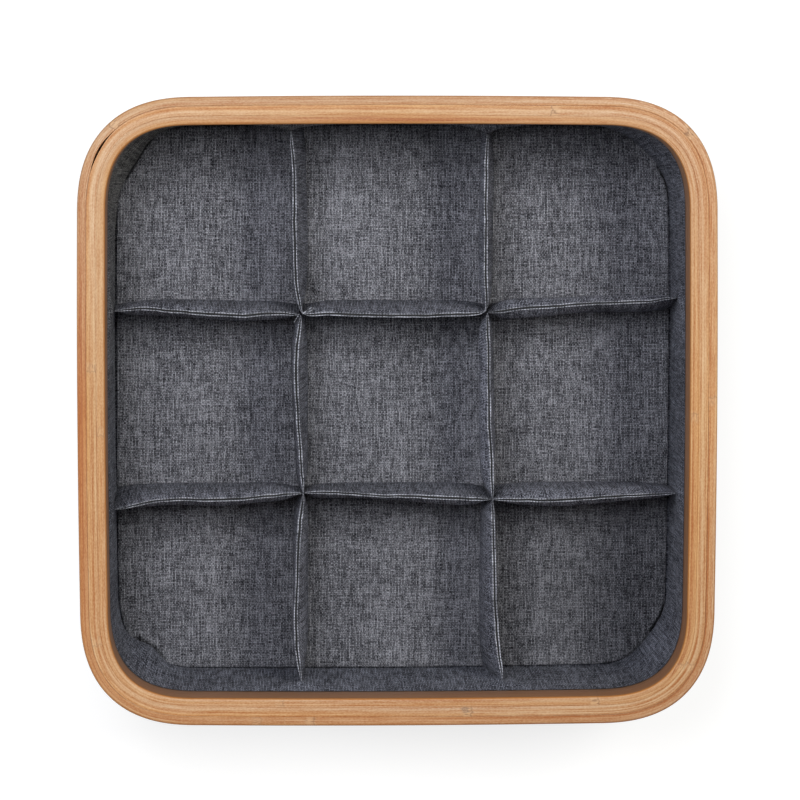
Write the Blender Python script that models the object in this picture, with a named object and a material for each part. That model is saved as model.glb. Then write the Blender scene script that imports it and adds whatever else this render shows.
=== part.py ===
"""Nine-cell organizer tray: a laminated bamboo rim on a shallow fabric body.

The rim is three bamboo plies, bent one inside another round a soft-cornered square.
Each ply is one strip, closed by a long slanted scarf joint, and the three joints sit at
different corners. The two outer plies reach lower than the inner one, and the top edge
of the body's wall stands in the step between them, so the lining runs on flush below
the rim. The body is outer cloth, two bent wall boards, a base board and a lining, with
a cloth-covered floor panel laid in. Twelve stiffened cloth dividers stand on the panel
and make nine cells. Their bases are straight and their soft top edges sway.

Metres, +Z up. The origin is the middle of the underside, +X is the tray's right side and
+Y its back.
"""

import math

import bmesh
import bpy
from mathutils import Vector

# Overall size, over the rim
WIDTH = 0.320
DEPTH = 0.316
HEIGHT = 0.100

# Plan outline of the rim
CORNER_REACH = 0.060
CORNER_SQUARENESS = 2.5
SIDE_BOW = 0.0006

# Clearance between pieces that touch, and how far a cutter runs past what it cuts
GAP = 0.0003
OVERRUN = 0.002

# Bamboo rim
OUTER_PLY = 0.0044
MIDDLE_PLY = 0.0047
RIM_HEIGHT = 0.030
INNER_PLY_HEIGHT = 0.022
OUTER_ARRIS = 0.0014
INNER_ARRIS = 0.0010
SCARF_RUN = 0.036

# Where each ply's scarf lies, as a share of the way round from the middle of the right side
OUTER_SCARF_SHARE = 0.385
MIDDLE_SCARF_SHARE = 0.625
INNER_SCARF_SHARE = 0.875

# Fabric body
BODY_CLOTH = 0.0006
WALL_BOARD = 0.0025
BASE_BOARD = 0.0020
HEM_WIDTH = 0.012
LINING_FLANGE = 0.010

# Floor panel
FLOOR_BOARD = 0.0015
PANEL_CLEARANCE = 0.0005

# Dividers
DIVIDER_TOP = 0.060
SLEEVE_CLOTH = 0.0005
SLEEVE_FOOT_HALF = 0.0032
DIVIDER_CARD = 0.0009
SLEEVE_SLIT = 0.0007
CARD_SETBACK = 0.002
TOP_SWAY = 0.007

# How far each divider's top edge has swayed off the line of its base, as shares of
# TOP_SWAY: at its near wall, then at every sixth of each of its three cells, with the two
# crossings at the starts of the second and third rows. Across dividers run left to right
# and sway to the back, long ones run front to back and sway to the right.
READINGS_PER_CELL = 6
BACK_SWAY_SHARES = (
    0.15, 0.32, 0.07, -0.10, -0.18, -0.07,
    -0.18, -0.10, -0.19, -0.22, -0.23, -0.17,
    -0.03, 0.26, 0.40, 0.57, 0.67, 0.76, 1.05,
)
FRONT_SWAY_SHARES = (
    -0.65, -0.18, 0.08, 0.03, 0.10, 0.32,
    0.50, 0.50, 0.36, 0.25, 0.20, 0.10,
    0.00, -0.06, -0.06, 0.04, 0.18, 0.32, 0.41,
)
LEFT_SWAY_SHARES = (
    0.00, -0.32, -0.37, -0.33, -0.23, -0.07,
    0.17, -0.01, -0.12, -0.25, -0.36, -0.26,
    0.00, -0.28, -0.39, -0.43, -0.45, -0.49, -0.67,
)
RIGHT_SWAY_SHARES = (
    0.87, 0.56, 0.36, 0.27, 0.23, 0.20,
    0.12, 0.03, -0.08, -0.16, -0.20, -0.22,
    -0.30, -0.39, -0.41, -0.41, -0.41, -0.39, -0.32,
)

# Mesh fineness
CORNER_STEPS = 12
SIDE_STEPS = 3
ARRIS_STEPS = 3
SCARF_STEPS = 6
SLEEVE_STEPS = 12

# Depths into the wall, measured from the rim's outer face
OUTER_PLY_INNER = OUTER_PLY
MIDDLE_PLY_OUTER = OUTER_PLY_INNER + GAP
MIDDLE_PLY_INNER = MIDDLE_PLY_OUTER + MIDDLE_PLY
BODY_OUTER = MIDDLE_PLY_INNER + GAP
OUTER_CLOTH_INNER = BODY_OUTER + BODY_CLOTH
BOARD_OUTER = OUTER_CLOTH_INNER + GAP
BOARD_INNER = BOARD_OUTER + WALL_BOARD
LINING_OUTER = BOARD_INNER + GAP
LINING_INNER = LINING_OUTER + BODY_CLOTH
PANEL_OUTER = LINING_INNER + PANEL_CLEARANCE
PANEL_CLOTH_INNER = PANEL_OUTER + BODY_CLOTH
PANEL_BOARD_OUTER = PANEL_CLOTH_INNER + GAP

# Heights
BOTTOM_CLOTH_TOP = BODY_CLOTH
HEM_LOW = BOTTOM_CLOTH_TOP + GAP
HEM_HIGH = HEM_LOW + BODY_CLOTH
BASE_LOW = HEM_HIGH + GAP
BASE_HIGH = BASE_LOW + BASE_BOARD
BODY_FLOOR = BASE_HIGH + GAP
FLANGE_HIGH = BODY_FLOOR + BODY_CLOTH
PANEL_LOW = FLANGE_HIGH + GAP
PANEL_BOARD_HIGH = PANEL_LOW + FLOOR_BOARD
PANEL_CLOTH_LOW = PANEL_BOARD_HIGH + GAP
FLOOR_TOP = PANEL_CLOTH_LOW + BODY_CLOTH
DIVIDER_BASE = FLOOR_TOP + GAP
INNER_PLY_LOW = HEIGHT - INNER_PLY_HEIGHT
BODY_TOP = INNER_PLY_LOW - GAP
RIM_LOW = HEIGHT - RIM_HEIGHT

# Divider thickness at the top and the places of the dividers' bases
SLEEVE_HALF = DIVIDER_CARD / 2 + GAP + SLEEVE_CLOTH
COLUMN_LINE = (WIDTH / 2 - LINING_INNER) / 3
ROW_LINE = (DEPTH / 2 - LINING_INNER) / 3


def make_material(name, color, roughness):
    """A Principled material with one colour and roughness."""
    material = bpy.data.materials.new(name)
    material.use_nodes = True
    shader = material.node_tree.nodes["Principled BSDF"]
    shader.inputs["Base Color"].default_value = (*color, 1.0)
    shader.inputs["Roughness"].default_value = roughness
    shader.inputs["Metallic"].default_value = 0.0
    return material


def make_object(name, vertices, faces, material):
    """One closed body from its corners and faces, with the faces turned outwards."""
    mesh = bpy.data.meshes.new(name)
    mesh.from_pydata(vertices, [], faces)
    work = bmesh.new()
    work.from_mesh(mesh)
    bmesh.ops.recalc_face_normals(work, faces=work.faces)
    work.to_mesh(mesh)
    work.free()
    mesh.materials.append(material)
    body = bpy.data.objects.new(name, mesh)
    bpy.context.collection.objects.link(body)
    return body


def quarter_outline(reach, side_reach):
    """The outer edge from the middle of the side at x = reach to the middle of the next."""
    straight = side_reach - SIDE_BOW - CORNER_REACH
    next_straight = reach - SIDE_BOW - CORNER_REACH
    points = []
    for step in range(SIDE_STEPS):
        share = step / SIDE_STEPS
        points.append(Vector((reach - SIDE_BOW * share ** 2, straight * share)))
    for step in range(CORNER_STEPS + 1):
        angle = math.pi / 2 * step / CORNER_STEPS
        across = max(math.cos(angle), 0.0) ** (2 / CORNER_SQUARENESS)
        along = math.sin(angle) ** (2 / CORNER_SQUARENESS)
        points.append(Vector((next_straight + CORNER_REACH * across, straight + CORNER_REACH * along)))
    for step in range(1, SIDE_STEPS):
        share = 1 - step / SIDE_STEPS
        points.append(Vector((next_straight * share, side_reach - SIDE_BOW * share ** 2)))
    return points


def outline_stations():
    """Points round the outer edge, each with the move that sets it in by one unit."""
    points = []
    for quarter in range(4):
        reaches = (WIDTH / 2, DEPTH / 2) if quarter % 2 == 0 else (DEPTH / 2, WIDTH / 2)
        for point in quarter_outline(*reaches):
            x, y = point
            for _ in range(quarter):
                x, y = -y, x
            points.append(Vector((x, y)))
    stations = []
    for index, point in enumerate(points):
        before = (point - points[index - 1]).normalized()
        after = (points[(index + 1) % len(points)] - point).normalized()
        inward_before = Vector((-before.y, before.x))
        inward_after = Vector((-after.y, after.x))
        move = (inward_before + inward_after) / (1 + inward_before.dot(inward_after))
        stations.append((point, move))
    return stations


STATIONS = outline_stations()


def inset_point(index, inset):
    """A point of the outline set in by a depth."""
    point, move = STATIONS[index % len(STATIONS)]
    return point + move * inset


def point_along(distance, inset):
    """The point a distance round the outer edge from the middle of the right side."""
    index = 0
    while True:
        point = STATIONS[index % len(STATIONS)][0]
        step = (STATIONS[(index + 1) % len(STATIONS)][0] - point).length
        if distance <= step:
            return inset_point(index, inset).lerp(inset_point(index + 1, inset), distance / step)
        distance -= step
        index += 1


def outline_length():
    """The distance once round the outer edge."""
    return sum((point - STATIONS[index - 1][0]).length for index, (point, _) in enumerate(STATIONS))


def hoop(name, section, material):
    """A closed ring with the section, a loop of (inset, height) corners, all the way round."""
    vertices = []
    for inset, height in section:
        for index in range(len(STATIONS)):
            vertices.append((*inset_point(index, inset), height))
    around = len(STATIONS)
    faces = []
    for corner in range(len(section)):
        low = corner * around
        high = (corner + 1) % len(section) * around
        for index in range(around):
            following = (index + 1) % around
            faces.append((low + index, low + following, high + following, high + index))
    return make_object(name, vertices, faces, material)


def lidded_panel(name, profile, material):
    """A panel whose edge follows the profile, closed by a flat face at each of its ends."""
    vertices = []
    for inset, height in profile:
        for index in range(len(STATIONS)):
            vertices.append((*inset_point(index, inset), height))
    around = len(STATIONS)
    faces = [tuple(range(around)), tuple(range((len(profile) - 1) * around, len(profile) * around))]
    for corner in range(len(profile) - 1):
        low = corner * around
        high = low + around
        for index in range(around):
            following = (index + 1) % around
            faces.append((low + index, low + following, high + following, high + index))
    return make_object(name, vertices, faces, material)


def flat_panel(name, inset, low, high, material):
    """A flat board or cloth cut to the outline at one inset."""
    return lidded_panel(name, [(inset, low), (inset, high)], material)


def arris(corner_inset, corner_height, radius, inset_side, height_side, start_level):
    """The points of one rounded edge of a section, or its sharp corner."""
    centre_inset = corner_inset + inset_side * radius
    centre_height = corner_height + height_side * radius
    points = []
    for step in range(ARRIS_STEPS + 1):
        angle = math.pi / 2 * step / ARRIS_STEPS
        turn = math.pi / 2 - angle if start_level else angle
        points.append((
            centre_inset - inset_side * radius * math.cos(turn),
            centre_height - height_side * radius * math.sin(turn),
        ))
    return points


def outer_ply_section():
    """Both outer edges rounded, the face against the next ply square."""
    section = arris(0, RIM_LOW, OUTER_ARRIS, 1, 1, True)
    section += arris(0, HEIGHT, OUTER_ARRIS, 1, -1, False)
    section += [(OUTER_PLY_INNER, HEIGHT), (OUTER_PLY_INNER, RIM_LOW)]
    return section


def middle_ply_section():
    """Square all round, because both its faces are glued."""
    return [
        (MIDDLE_PLY_OUTER, RIM_LOW),
        (MIDDLE_PLY_OUTER, HEIGHT),
        (MIDDLE_PLY_INNER, HEIGHT),
        (MIDDLE_PLY_INNER, RIM_LOW),
    ]


def inner_ply_section():
    """Square outside and below, its top edge rounded towards the cells."""
    section = [(BODY_OUTER, INNER_PLY_LOW), (BODY_OUTER, HEIGHT)]
    section += arris(LINING_INNER, HEIGHT, INNER_ARRIS, -1, -1, True)
    section += [(LINING_INNER, INNER_PLY_LOW)]
    return section


def scarf_cutter(name, share, outer_inset, inner_inset, low, material):
    """A thin upright wall that slants through a ply while it follows the ply's bend."""
    length = outline_length()
    centre_line = []
    for step in range(-1, SCARF_STEPS + 2):
        through = step / SCARF_STEPS
        distance = (share * length + (through - 0.5) * SCARF_RUN) % length
        inset = outer_inset + through * (inner_inset - outer_inset)
        centre_line.append(point_along(distance, inset))
    vertices = []
    for index, point in enumerate(centre_line):
        before = centre_line[max(index - 1, 0)]
        after = centre_line[min(index + 1, len(centre_line) - 1)]
        direction = (after - before).normalized()
        side = Vector((-direction.y, direction.x)) * GAP / 2
        for offset in (side, -side):
            for height in (low - OVERRUN, HEIGHT + OVERRUN):
                vertices.append((*(point + offset), height))
    faces = [(0, 1, 3, 2)]
    for index in range(len(centre_line) - 1):
        near = index * 4
        far = near + 4
        faces.append((near, near + 1, far + 1, far))
        faces.append((near + 2, near + 3, far + 3, far + 2))
        faces.append((near, near + 2, far + 2, far))
        faces.append((near + 1, near + 3, far + 3, far + 1))
    last = (len(centre_line) - 1) * 4
    faces.append((last, last + 1, last + 3, last + 2))
    cutter = make_object(name, vertices, faces, material)
    cutter.hide_render = True
    cutter.display_type = "WIRE"
    return cutter


def make_ply(name, section, share, outer_inset, inner_inset, low, material):
    """One bamboo strip bent into a hoop, its two feathered ends a gap apart."""
    ply = hoop(name, section, material)
    cutter = scarf_cutter(name + "_scarf_cut", share, outer_inset, inner_inset, low, material)
    cut = ply.modifiers.new("scarf", "BOOLEAN")
    cut.operation = "DIFFERENCE"
    cut.object = cutter
    ply.data.shade_smooth()
    ply.data.set_sharp_from_angle(angle=math.radians(40))
    return ply


def make_rim(bamboo, bamboo_outer):
    """The three plies, outermost first."""
    make_ply(
        "rim_outer_ply", outer_ply_section(), OUTER_SCARF_SHARE,
        0, OUTER_PLY_INNER, RIM_LOW, bamboo_outer,
    )
    make_ply(
        "rim_middle_ply", middle_ply_section(), MIDDLE_SCARF_SHARE,
        MIDDLE_PLY_OUTER, MIDDLE_PLY_INNER, RIM_LOW, bamboo,
    )
    make_ply(
        "rim_inner_ply", inner_ply_section(), INNER_SCARF_SHARE,
        BODY_OUTER, LINING_INNER, INNER_PLY_LOW, bamboo,
    )


def make_wall_board(name, first, last, board):
    """Half of the wall's board, bent round two corners, its ends half a gap off the middle."""
    section = [
        (BOARD_OUTER, BODY_FLOOR),
        (BOARD_OUTER, BODY_TOP),
        (BOARD_INNER, BODY_TOP),
        (BOARD_INNER, BODY_FLOOR),
    ]
    vertices = []
    for index in range(first, last + 1):
        for inset, height in section:
            point = inset_point(index, inset)
            if index in (first, last):
                neighbour = inset_point(index + (1 if index == first else -1), inset)
                point = point + (neighbour - point).normalized() * GAP / 2
            vertices.append((*point, height))
    corners = len(section)
    faces = [tuple(range(corners))]
    for row in range(last - first):
        for corner in range(corners):
            following = (corner + 1) % corners
            low = row * corners
            high = low + corners
            faces.append((low + corner, low + following, high + following, high + corner))
    faces.append(tuple(range((last - first) * corners, (last - first + 1) * corners)))
    return make_object(name, vertices, faces, board)


def make_body(cloth, board):
    """The outer cloth, the boards, the lining and the floor panel."""
    hoop("outer_wall_cloth", [
        (BODY_OUTER, HEM_LOW),
        (BODY_OUTER, BODY_TOP),
        (OUTER_CLOTH_INNER, BODY_TOP),
        (OUTER_CLOTH_INNER, HEM_HIGH),
        (BODY_OUTER + HEM_WIDTH, HEM_HIGH),
        (BODY_OUTER + HEM_WIDTH, HEM_LOW),
    ], cloth)
    flat_panel("bottom_cloth", BODY_OUTER, 0, BOTTOM_CLOTH_TOP, cloth)
    flat_panel("base_board", BOARD_OUTER, BASE_LOW, BASE_HIGH, board)
    halfway = len(STATIONS) // 2
    make_wall_board("wall_board_back", 0, halfway, board)
    make_wall_board("wall_board_front", halfway, len(STATIONS), board)
    hoop("wall_lining", [
        (LINING_OUTER, BODY_FLOOR),
        (LINING_OUTER, BODY_TOP),
        (LINING_INNER, BODY_TOP),
        (LINING_INNER, FLANGE_HIGH),
        (LINING_INNER + LINING_FLANGE, FLANGE_HIGH),
        (LINING_INNER + LINING_FLANGE, BODY_FLOOR),
    ], cloth)
    flat_panel("floor_board", PANEL_BOARD_OUTER, PANEL_LOW, PANEL_BOARD_HIGH, board)
    lidded_panel("floor_cloth", [
        (PANEL_OUTER + BODY_CLOTH, FLOOR_TOP),
        (PANEL_OUTER, PANEL_CLOTH_LOW),
        (PANEL_OUTER, PANEL_LOW),
        (PANEL_CLOTH_INNER, PANEL_LOW),
        (PANEL_CLOTH_INNER, PANEL_CLOTH_LOW),
    ], cloth)


def smooth_between(values, position):
    """A smooth curve through evenly spaced values, read at a position along them."""
    index = min(int(position), len(values) - 2)
    part = position - index
    before = values[max(index - 1, 0)]
    here = values[index]
    after = values[index + 1]
    beyond = values[min(index + 2, len(values) - 1)]
    bend = 2 * before - 5 * here + 4 * after - beyond
    twist = 3 * here - before - 3 * after + beyond
    return here + 0.5 * part * (after - before + part * (bend + part * twist))


def wall_reach(half_size, side_half_size, offset):
    """How far the lining's inner face stands from the middle, at an offset along the side."""
    straight = side_half_size - SIDE_BOW - CORNER_REACH
    return half_size - SIDE_BOW * min(abs(offset) / straight, 1) ** 2 - LINING_INNER


def height_share(height):
    """The height as a share of the way from the dividers' base to their top edge."""
    return (height - DIVIDER_BASE) / (DIVIDER_TOP - DIVIDER_BASE)


def divider_stop(run, stop, height):
    """Where a divider's cell ends along its run: at the lining, or at a crossing's middle.

    Each stop is -2 or 2 for the walls and -1 or 1 for the crossings.
    """
    if abs(stop) == 2:
        offset = run["line"] + TOP_SWAY * run["shares"][0 if stop < 0 else -1] * height_share(height)
        return math.copysign(wall_reach(run["half_length"], run["half_width"], offset), stop)
    crossing = run["crossings"][0 if stop < 0 else 1]
    return crossing["line"] + TOP_SWAY * crossing["share"] * height_share(height)


def divider_point(run, cell, along_share, lateral, height, setback):
    """A point of a divider in one of its three cells.

    The point lies a share of the way along, a lateral distance off the middle of its
    thickness, at a height. At a crossing the end is mitred to its neighbours.
    """
    stops = ((-2, -1), (-1, 1), (1, 2))[cell]
    low, high = (divider_stop(run, stop, height) for stop in stops)
    mitre = GAP * math.sin(math.pi / 4) + abs(lateral)
    start = low + setback + (GAP if stops[0] == -2 else mitre)
    end = high - setback - (GAP if stops[1] == 2 else mitre)
    along = start + (end - start) * along_share
    sway = smooth_between(run["shares"], READINGS_PER_CELL * (cell + (along - low) / (high - low)))
    across = run["line"] + lateral + TOP_SWAY * sway * height_share(height)
    if run["is_across"]:
        return (along, across, height)
    return (across, along, height)


def lofted_divider(name, run, cell, half_section, setback, material):
    """A divider piece: a section that is alike on both sides, carried along its cell.

    half_section runs from the middle of the underside up and round to the other middle.
    """
    mirrored = [(-lateral, height) for lateral, height in reversed(half_section[1:-1])]
    section = half_section + mirrored
    corners = len(section)
    vertices = []
    for step in range(SLEEVE_STEPS + 1):
        for lateral, height in section:
            vertices.append(divider_point(run, cell, step / SLEEVE_STEPS, lateral, height, setback))
    right_half = list(range(len(half_section)))
    left_half = [0] + list(range(corners - 1, len(half_section) - 2, -1))
    last = SLEEVE_STEPS * corners
    faces = []
    for half in (right_half, left_half):
        faces.append(tuple(half))
        faces.append(tuple(last + corner for corner in half))
    for step in range(SLEEVE_STEPS):
        for corner in range(corners):
            following = (corner + 1) % corners
            near, near_next = step * corners + corner, step * corners + following
            far, far_next = near + corners, near_next + corners
            # Every skin of the divider is split along the same diagonal, low to high
            if section[corner][1] <= section[following][1]:
                faces += [(near, near_next, far_next), (near, far_next, far)]
            else:
                faces += [(near, near_next, far), (near_next, far_next, far)]
    return make_object(name, vertices, faces, material)


def make_divider(run, cell, cell_name, cloth, card):
    """One sleeve, slack at its foot and slit along its top, and the stiff card inside it."""
    inner_half = SLEEVE_HALF - SLEEVE_CLOTH
    inner_foot_half = SLEEVE_FOOT_HALF - SLEEVE_CLOTH
    inner_low = DIVIDER_BASE + SLEEVE_CLOTH
    lip_low = DIVIDER_TOP - SLEEVE_CLOTH
    fold = SLEEVE_CLOTH / 2
    sleeve_half_section = [
        (0, DIVIDER_BASE),
        (SLEEVE_FOOT_HALF, DIVIDER_BASE),
        (SLEEVE_HALF, DIVIDER_TOP - fold),
        (SLEEVE_HALF - fold, DIVIDER_TOP),
        (SLEEVE_SLIT / 2, DIVIDER_TOP),
        (SLEEVE_SLIT / 2, lip_low),
        (inner_half, lip_low),
        (inner_foot_half, inner_low),
        (0, inner_low),
    ]
    card_half_section = [
        (0, inner_low + GAP),
        (DIVIDER_CARD / 2, inner_low + GAP),
        (DIVIDER_CARD / 2, lip_low - GAP),
        (0, lip_low - GAP),
    ]
    name = run["name"] + "_divider_" + cell_name
    lofted_divider(name + "_sleeve", run, cell, sleeve_half_section, 0, cloth)
    lofted_divider(name + "_card", run, cell, card_half_section, CARD_SETBACK, card)


def make_dividers(cloth, card):
    """Two dividers across the tray and two along it, each in three cells."""
    across = (("front", -ROW_LINE, FRONT_SWAY_SHARES), ("back", ROW_LINE, BACK_SWAY_SHARES))
    lengthways = (("left", -COLUMN_LINE, LEFT_SWAY_SHARES), ("right", COLUMN_LINE, RIGHT_SWAY_SHARES))
    for group, others, is_across in ((across, lengthways, True), (lengthways, across, False)):
        for position, (name, line, shares) in enumerate(group):
            crossing_index = READINGS_PER_CELL * (1 + position)
            run = {
                "name": name,
                "line": line,
                "shares": shares,
                "is_across": is_across,
                "half_length": WIDTH / 2 if is_across else DEPTH / 2,
                "half_width": DEPTH / 2 if is_across else WIDTH / 2,
                "crossings": [
                    {"line": other_line, "share": other_shares[crossing_index]}
                    for _, other_line, other_shares in others
                ],
            }
            cell_names = ("left", "middle", "right") if is_across else ("front", "middle", "back")
            for cell, cell_name in enumerate(cell_names):
                make_divider(run, cell, cell_name, cloth, card)


def main():
    for existing in list(bpy.data.objects):
        bpy.data.objects.remove(existing, do_unlink=True)
    bamboo = make_material("bamboo", (0.62, 0.38, 0.18), 0.45)
    bamboo_outer = make_material("bamboo_outer_ply", (0.52, 0.28, 0.13), 0.45)
    cloth = make_material("charcoal_cloth", (0.065, 0.068, 0.075), 0.9)
    board = make_material("fibreboard", (0.35, 0.28, 0.20), 0.8)
    card = make_material("divider_card", (0.04, 0.04, 0.042), 0.8)
    make_rim(bamboo, bamboo_outer)
    make_body(cloth, board)
    make_dividers(cloth, card)


main()
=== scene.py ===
"""The finish, light and camera of the nine-cell organizer tray.

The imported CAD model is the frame. Its wall, base and floor boards stay and get a board
material. All other pieces are modelled again here, finer and softer, each in the place of
its CAD piece: the bamboo plies, the lining, the floor cloth, the divider sleeves with their
cards, and the outside cloth.

Metres, +Z up, +X to the tray's right side and +Y to its back, as in the frame.
"""

import math
from collections import namedtuple

import bpy
import numpy as np
from mathutils import Matrix, Vector, noise


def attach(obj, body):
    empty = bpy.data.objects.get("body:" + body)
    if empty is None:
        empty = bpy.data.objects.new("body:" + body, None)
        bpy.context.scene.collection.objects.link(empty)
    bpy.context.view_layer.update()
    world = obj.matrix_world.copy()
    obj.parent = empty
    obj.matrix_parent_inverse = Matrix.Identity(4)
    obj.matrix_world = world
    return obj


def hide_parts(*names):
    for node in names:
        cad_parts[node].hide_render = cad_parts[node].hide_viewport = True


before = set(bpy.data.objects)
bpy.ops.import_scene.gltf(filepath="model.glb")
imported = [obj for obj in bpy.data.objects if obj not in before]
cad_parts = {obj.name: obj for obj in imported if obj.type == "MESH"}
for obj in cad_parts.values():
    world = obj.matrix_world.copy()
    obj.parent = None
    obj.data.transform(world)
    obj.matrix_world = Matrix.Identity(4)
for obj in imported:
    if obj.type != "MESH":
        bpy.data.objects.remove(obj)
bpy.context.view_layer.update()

BODY = "root"

# Sizes that the CAD model has too
WIDTH = 0.320
DEPTH = 0.316
HEIGHT = 0.100
CORNER_REACH = 0.060
CORNER_SQUARENESS = 2.5
SIDE_BOW = 0.0006
OUTER_PLY_INNER = 0.0044
MIDDLE_PLY_OUTER = 0.0047
MIDDLE_PLY_INNER = 0.0094
BODY_OUTER = 0.0097
LINING_INNER = 0.0140
PANEL_OUTER = 0.0145
RIM_LOW = 0.070
INNER_PLY_LOW = 0.078
BODY_TOP = 0.0777
HEM_LOW = 0.0009
BODY_FLOOR = 0.0041
PANEL_LOW = 0.0050
FLOOR_TOP = 0.0074
DIVIDER_BASE = 0.0077
DIVIDER_TOP = 0.060
SLEEVE_FOOT_HALF = 0.0032
HEM_WIDTH = 0.012
LINING_FLANGE = 0.010
SCARF_RUN = 0.036
TOP_SWAY = 0.007
COLUMN_LINE = (WIDTH / 2 - LINING_INNER) / 3
ROW_LINE = (DEPTH / 2 - LINING_INNER) / 3

# How far each divider's top edge has swayed, as shares of TOP_SWAY, at its near wall and
# then at every sixth of its three cells, with a crossing at the start of each further row
READINGS_PER_CELL = 6
BACK_SWAY_SHARES = (
    0.15, 0.32, 0.07, -0.10, -0.18, -0.07,
    -0.18, -0.10, -0.19, -0.22, -0.23, -0.17,
    -0.03, 0.26, 0.40, 0.57, 0.67, 0.76, 1.05,
)
FRONT_SWAY_SHARES = (
    -0.65, -0.18, 0.08, 0.03, 0.10, 0.32,
    0.50, 0.50, 0.36, 0.25, 0.20, 0.10,
    0.00, -0.06, -0.06, 0.04, 0.18, 0.32, 0.41,
)
LEFT_SWAY_SHARES = (
    0.00, -0.32, -0.37, -0.33, -0.23, -0.07,
    0.17, -0.01, -0.12, -0.25, -0.36, -0.26,
    0.00, -0.28, -0.39, -0.43, -0.45, -0.49, -0.67,
)
RIGHT_SWAY_SHARES = (
    0.87, 0.56, 0.36, 0.27, 0.23, 0.20,
    0.12, 0.03, -0.08, -0.16, -0.20, -0.22,
    -0.30, -0.39, -0.41, -0.41, -0.41, -0.39, -0.32,
)

# Fineness of the modelled pieces, and how far a sleeve's steps crowd toward its ends
EDGE_STEPS = 200
PLY_STEP = 0.0020
LINING_STEP = 0.0018
FLOOR_STEP = 0.0025
OUTSIDE_STEP = 0.0030
SLEEVE_STEPS = 56
END_CROWDING = 0.6
SHARP_ANGLE = math.radians(50)


def outline_table():
    """Points round the rim's outer edge from the middle of the right side, and back to it."""
    share = np.arange(EDGE_STEPS) / EDGE_STEPS
    left = 1 - share[1:]
    angle = math.pi / 2 * np.arange(EDGE_STEPS + 1) / EDGE_STEPS
    across, along = (
        CORNER_REACH * np.clip(part, 0, 1) ** (2 / CORNER_SQUARENESS)
        for part in (np.cos(angle), np.sin(angle))
    )
    quarters = []
    for quarter in range(4):
        reach, side = (WIDTH / 2, DEPTH / 2) if quarter % 2 == 0 else (DEPTH / 2, WIDTH / 2)
        straight, next_straight = (half - SIDE_BOW - CORNER_REACH for half in (side, reach))
        x = [reach - SIDE_BOW * share ** 2, next_straight + across, next_straight * left]
        y = [straight * share, straight + along, side - SIDE_BOW * left ** 2]
        x, y = np.concatenate(x), np.concatenate(y)
        for _ in range(quarter):
            x, y = -y, x
        quarters.append(np.column_stack([x, y]))
    return np.vstack([*quarters, quarters[0][:1]])


EDGE = outline_table()
EDGE_DISTANCE = np.concatenate([[0], np.cumsum(np.linalg.norm(np.diff(EDGE, axis=0), axis=1))])
EDGE_LENGTH = EDGE_DISTANCE[-1]
EDGE_AHEAD = np.vstack([EDGE[1:], EDGE[1:2]]) - np.vstack([EDGE[-2:-1], EDGE[:-1]])
EDGE_INWARD = np.column_stack([-EDGE_AHEAD[:, 1], EDGE_AHEAD[:, 0]])
EDGE_INWARD /= np.linalg.norm(EDGE_INWARD, axis=1)[:, None]


def edge_place(distance, inset):
    """x and y at distances round the outer edge, each set in by an inset."""
    around = np.mod(distance, EDGE_LENGTH)
    return tuple(
        np.interp(around, EDGE_DISTANCE, EDGE[:, axis])
        + inset * np.interp(around, EDGE_DISTANCE, EDGE_INWARD[:, axis])
        for axis in (0, 1)
    )


def places_round(step):
    """A column of distances round the whole edge, about a step apart."""
    return np.linspace(0, EDGE_LENGTH, int(EDGE_LENGTH / step))[:, None]


def running_length(x, y):
    """How far along a line each of its points lies."""
    return np.concatenate([[0], np.cumsum(np.hypot(np.diff(x), np.diff(y)))])


def distance_from(distance, centre):
    """Signed distance round the edge from a centre, the shorter way round."""
    return np.mod(distance - centre + EDGE_LENGTH / 2, EDGE_LENGTH) - EDGE_LENGTH / 2


def value_round(distance, values):
    """A value given at even steps from the middle of the right side, blended between them."""
    places = np.linspace(0, EDGE_LENGTH, len(values) + 1)
    return np.interp(np.mod(distance, EDGE_LENGTH), places, (*values, values[0]))


def noise_at(*place):
    """Smooth noise from about -1 to 1 at a place."""
    return noise.noise(Vector(place))


def soft_noise(x, y, z=0.0):
    """The same noise at arrays of places."""
    spots = np.broadcast_arrays(np.asarray(x, float), np.asarray(y, float), np.asarray(z, float))
    values = [noise_at(*spot) for spot in zip(*(part.ravel() for part in spots))]
    return np.array(values).reshape(spots[0].shape)


def rise(value, start, end):
    """0 up to start, 1 from end on, and a smooth step between."""
    share = np.clip((value - start) / (end - start), 0, 1)
    return share * share * (3 - 2 * share)


def smooth_between(values, position):
    """A smooth curve through evenly spaced values, read at a position along them."""
    index = min(max(int(position), 0), len(values) - 2)
    part = position - index
    before, here, after, beyond = (
        values[min(max(index + step, 0), len(values) - 1)] for step in (-1, 0, 1, 2)
    )
    bend = 2 * before - 5 * here + 4 * after - beyond
    twist = 3 * here - before - 3 * after + beyond
    return here + 0.5 * part * (after - before + part * (bend + part * twist))


def scene_object(name, data):
    """A new object in the scene."""
    made = bpy.data.objects.new(name, data)
    bpy.context.scene.collection.objects.link(made)
    return made


def mesh_object(name, points, faces, material):
    """A smooth mesh in the scene."""
    mesh = bpy.data.meshes.new(name)
    mesh.from_pydata(points, [], faces)
    mesh.shade_smooth()
    mesh.materials.append(material)
    return scene_object(name, mesh)


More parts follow.
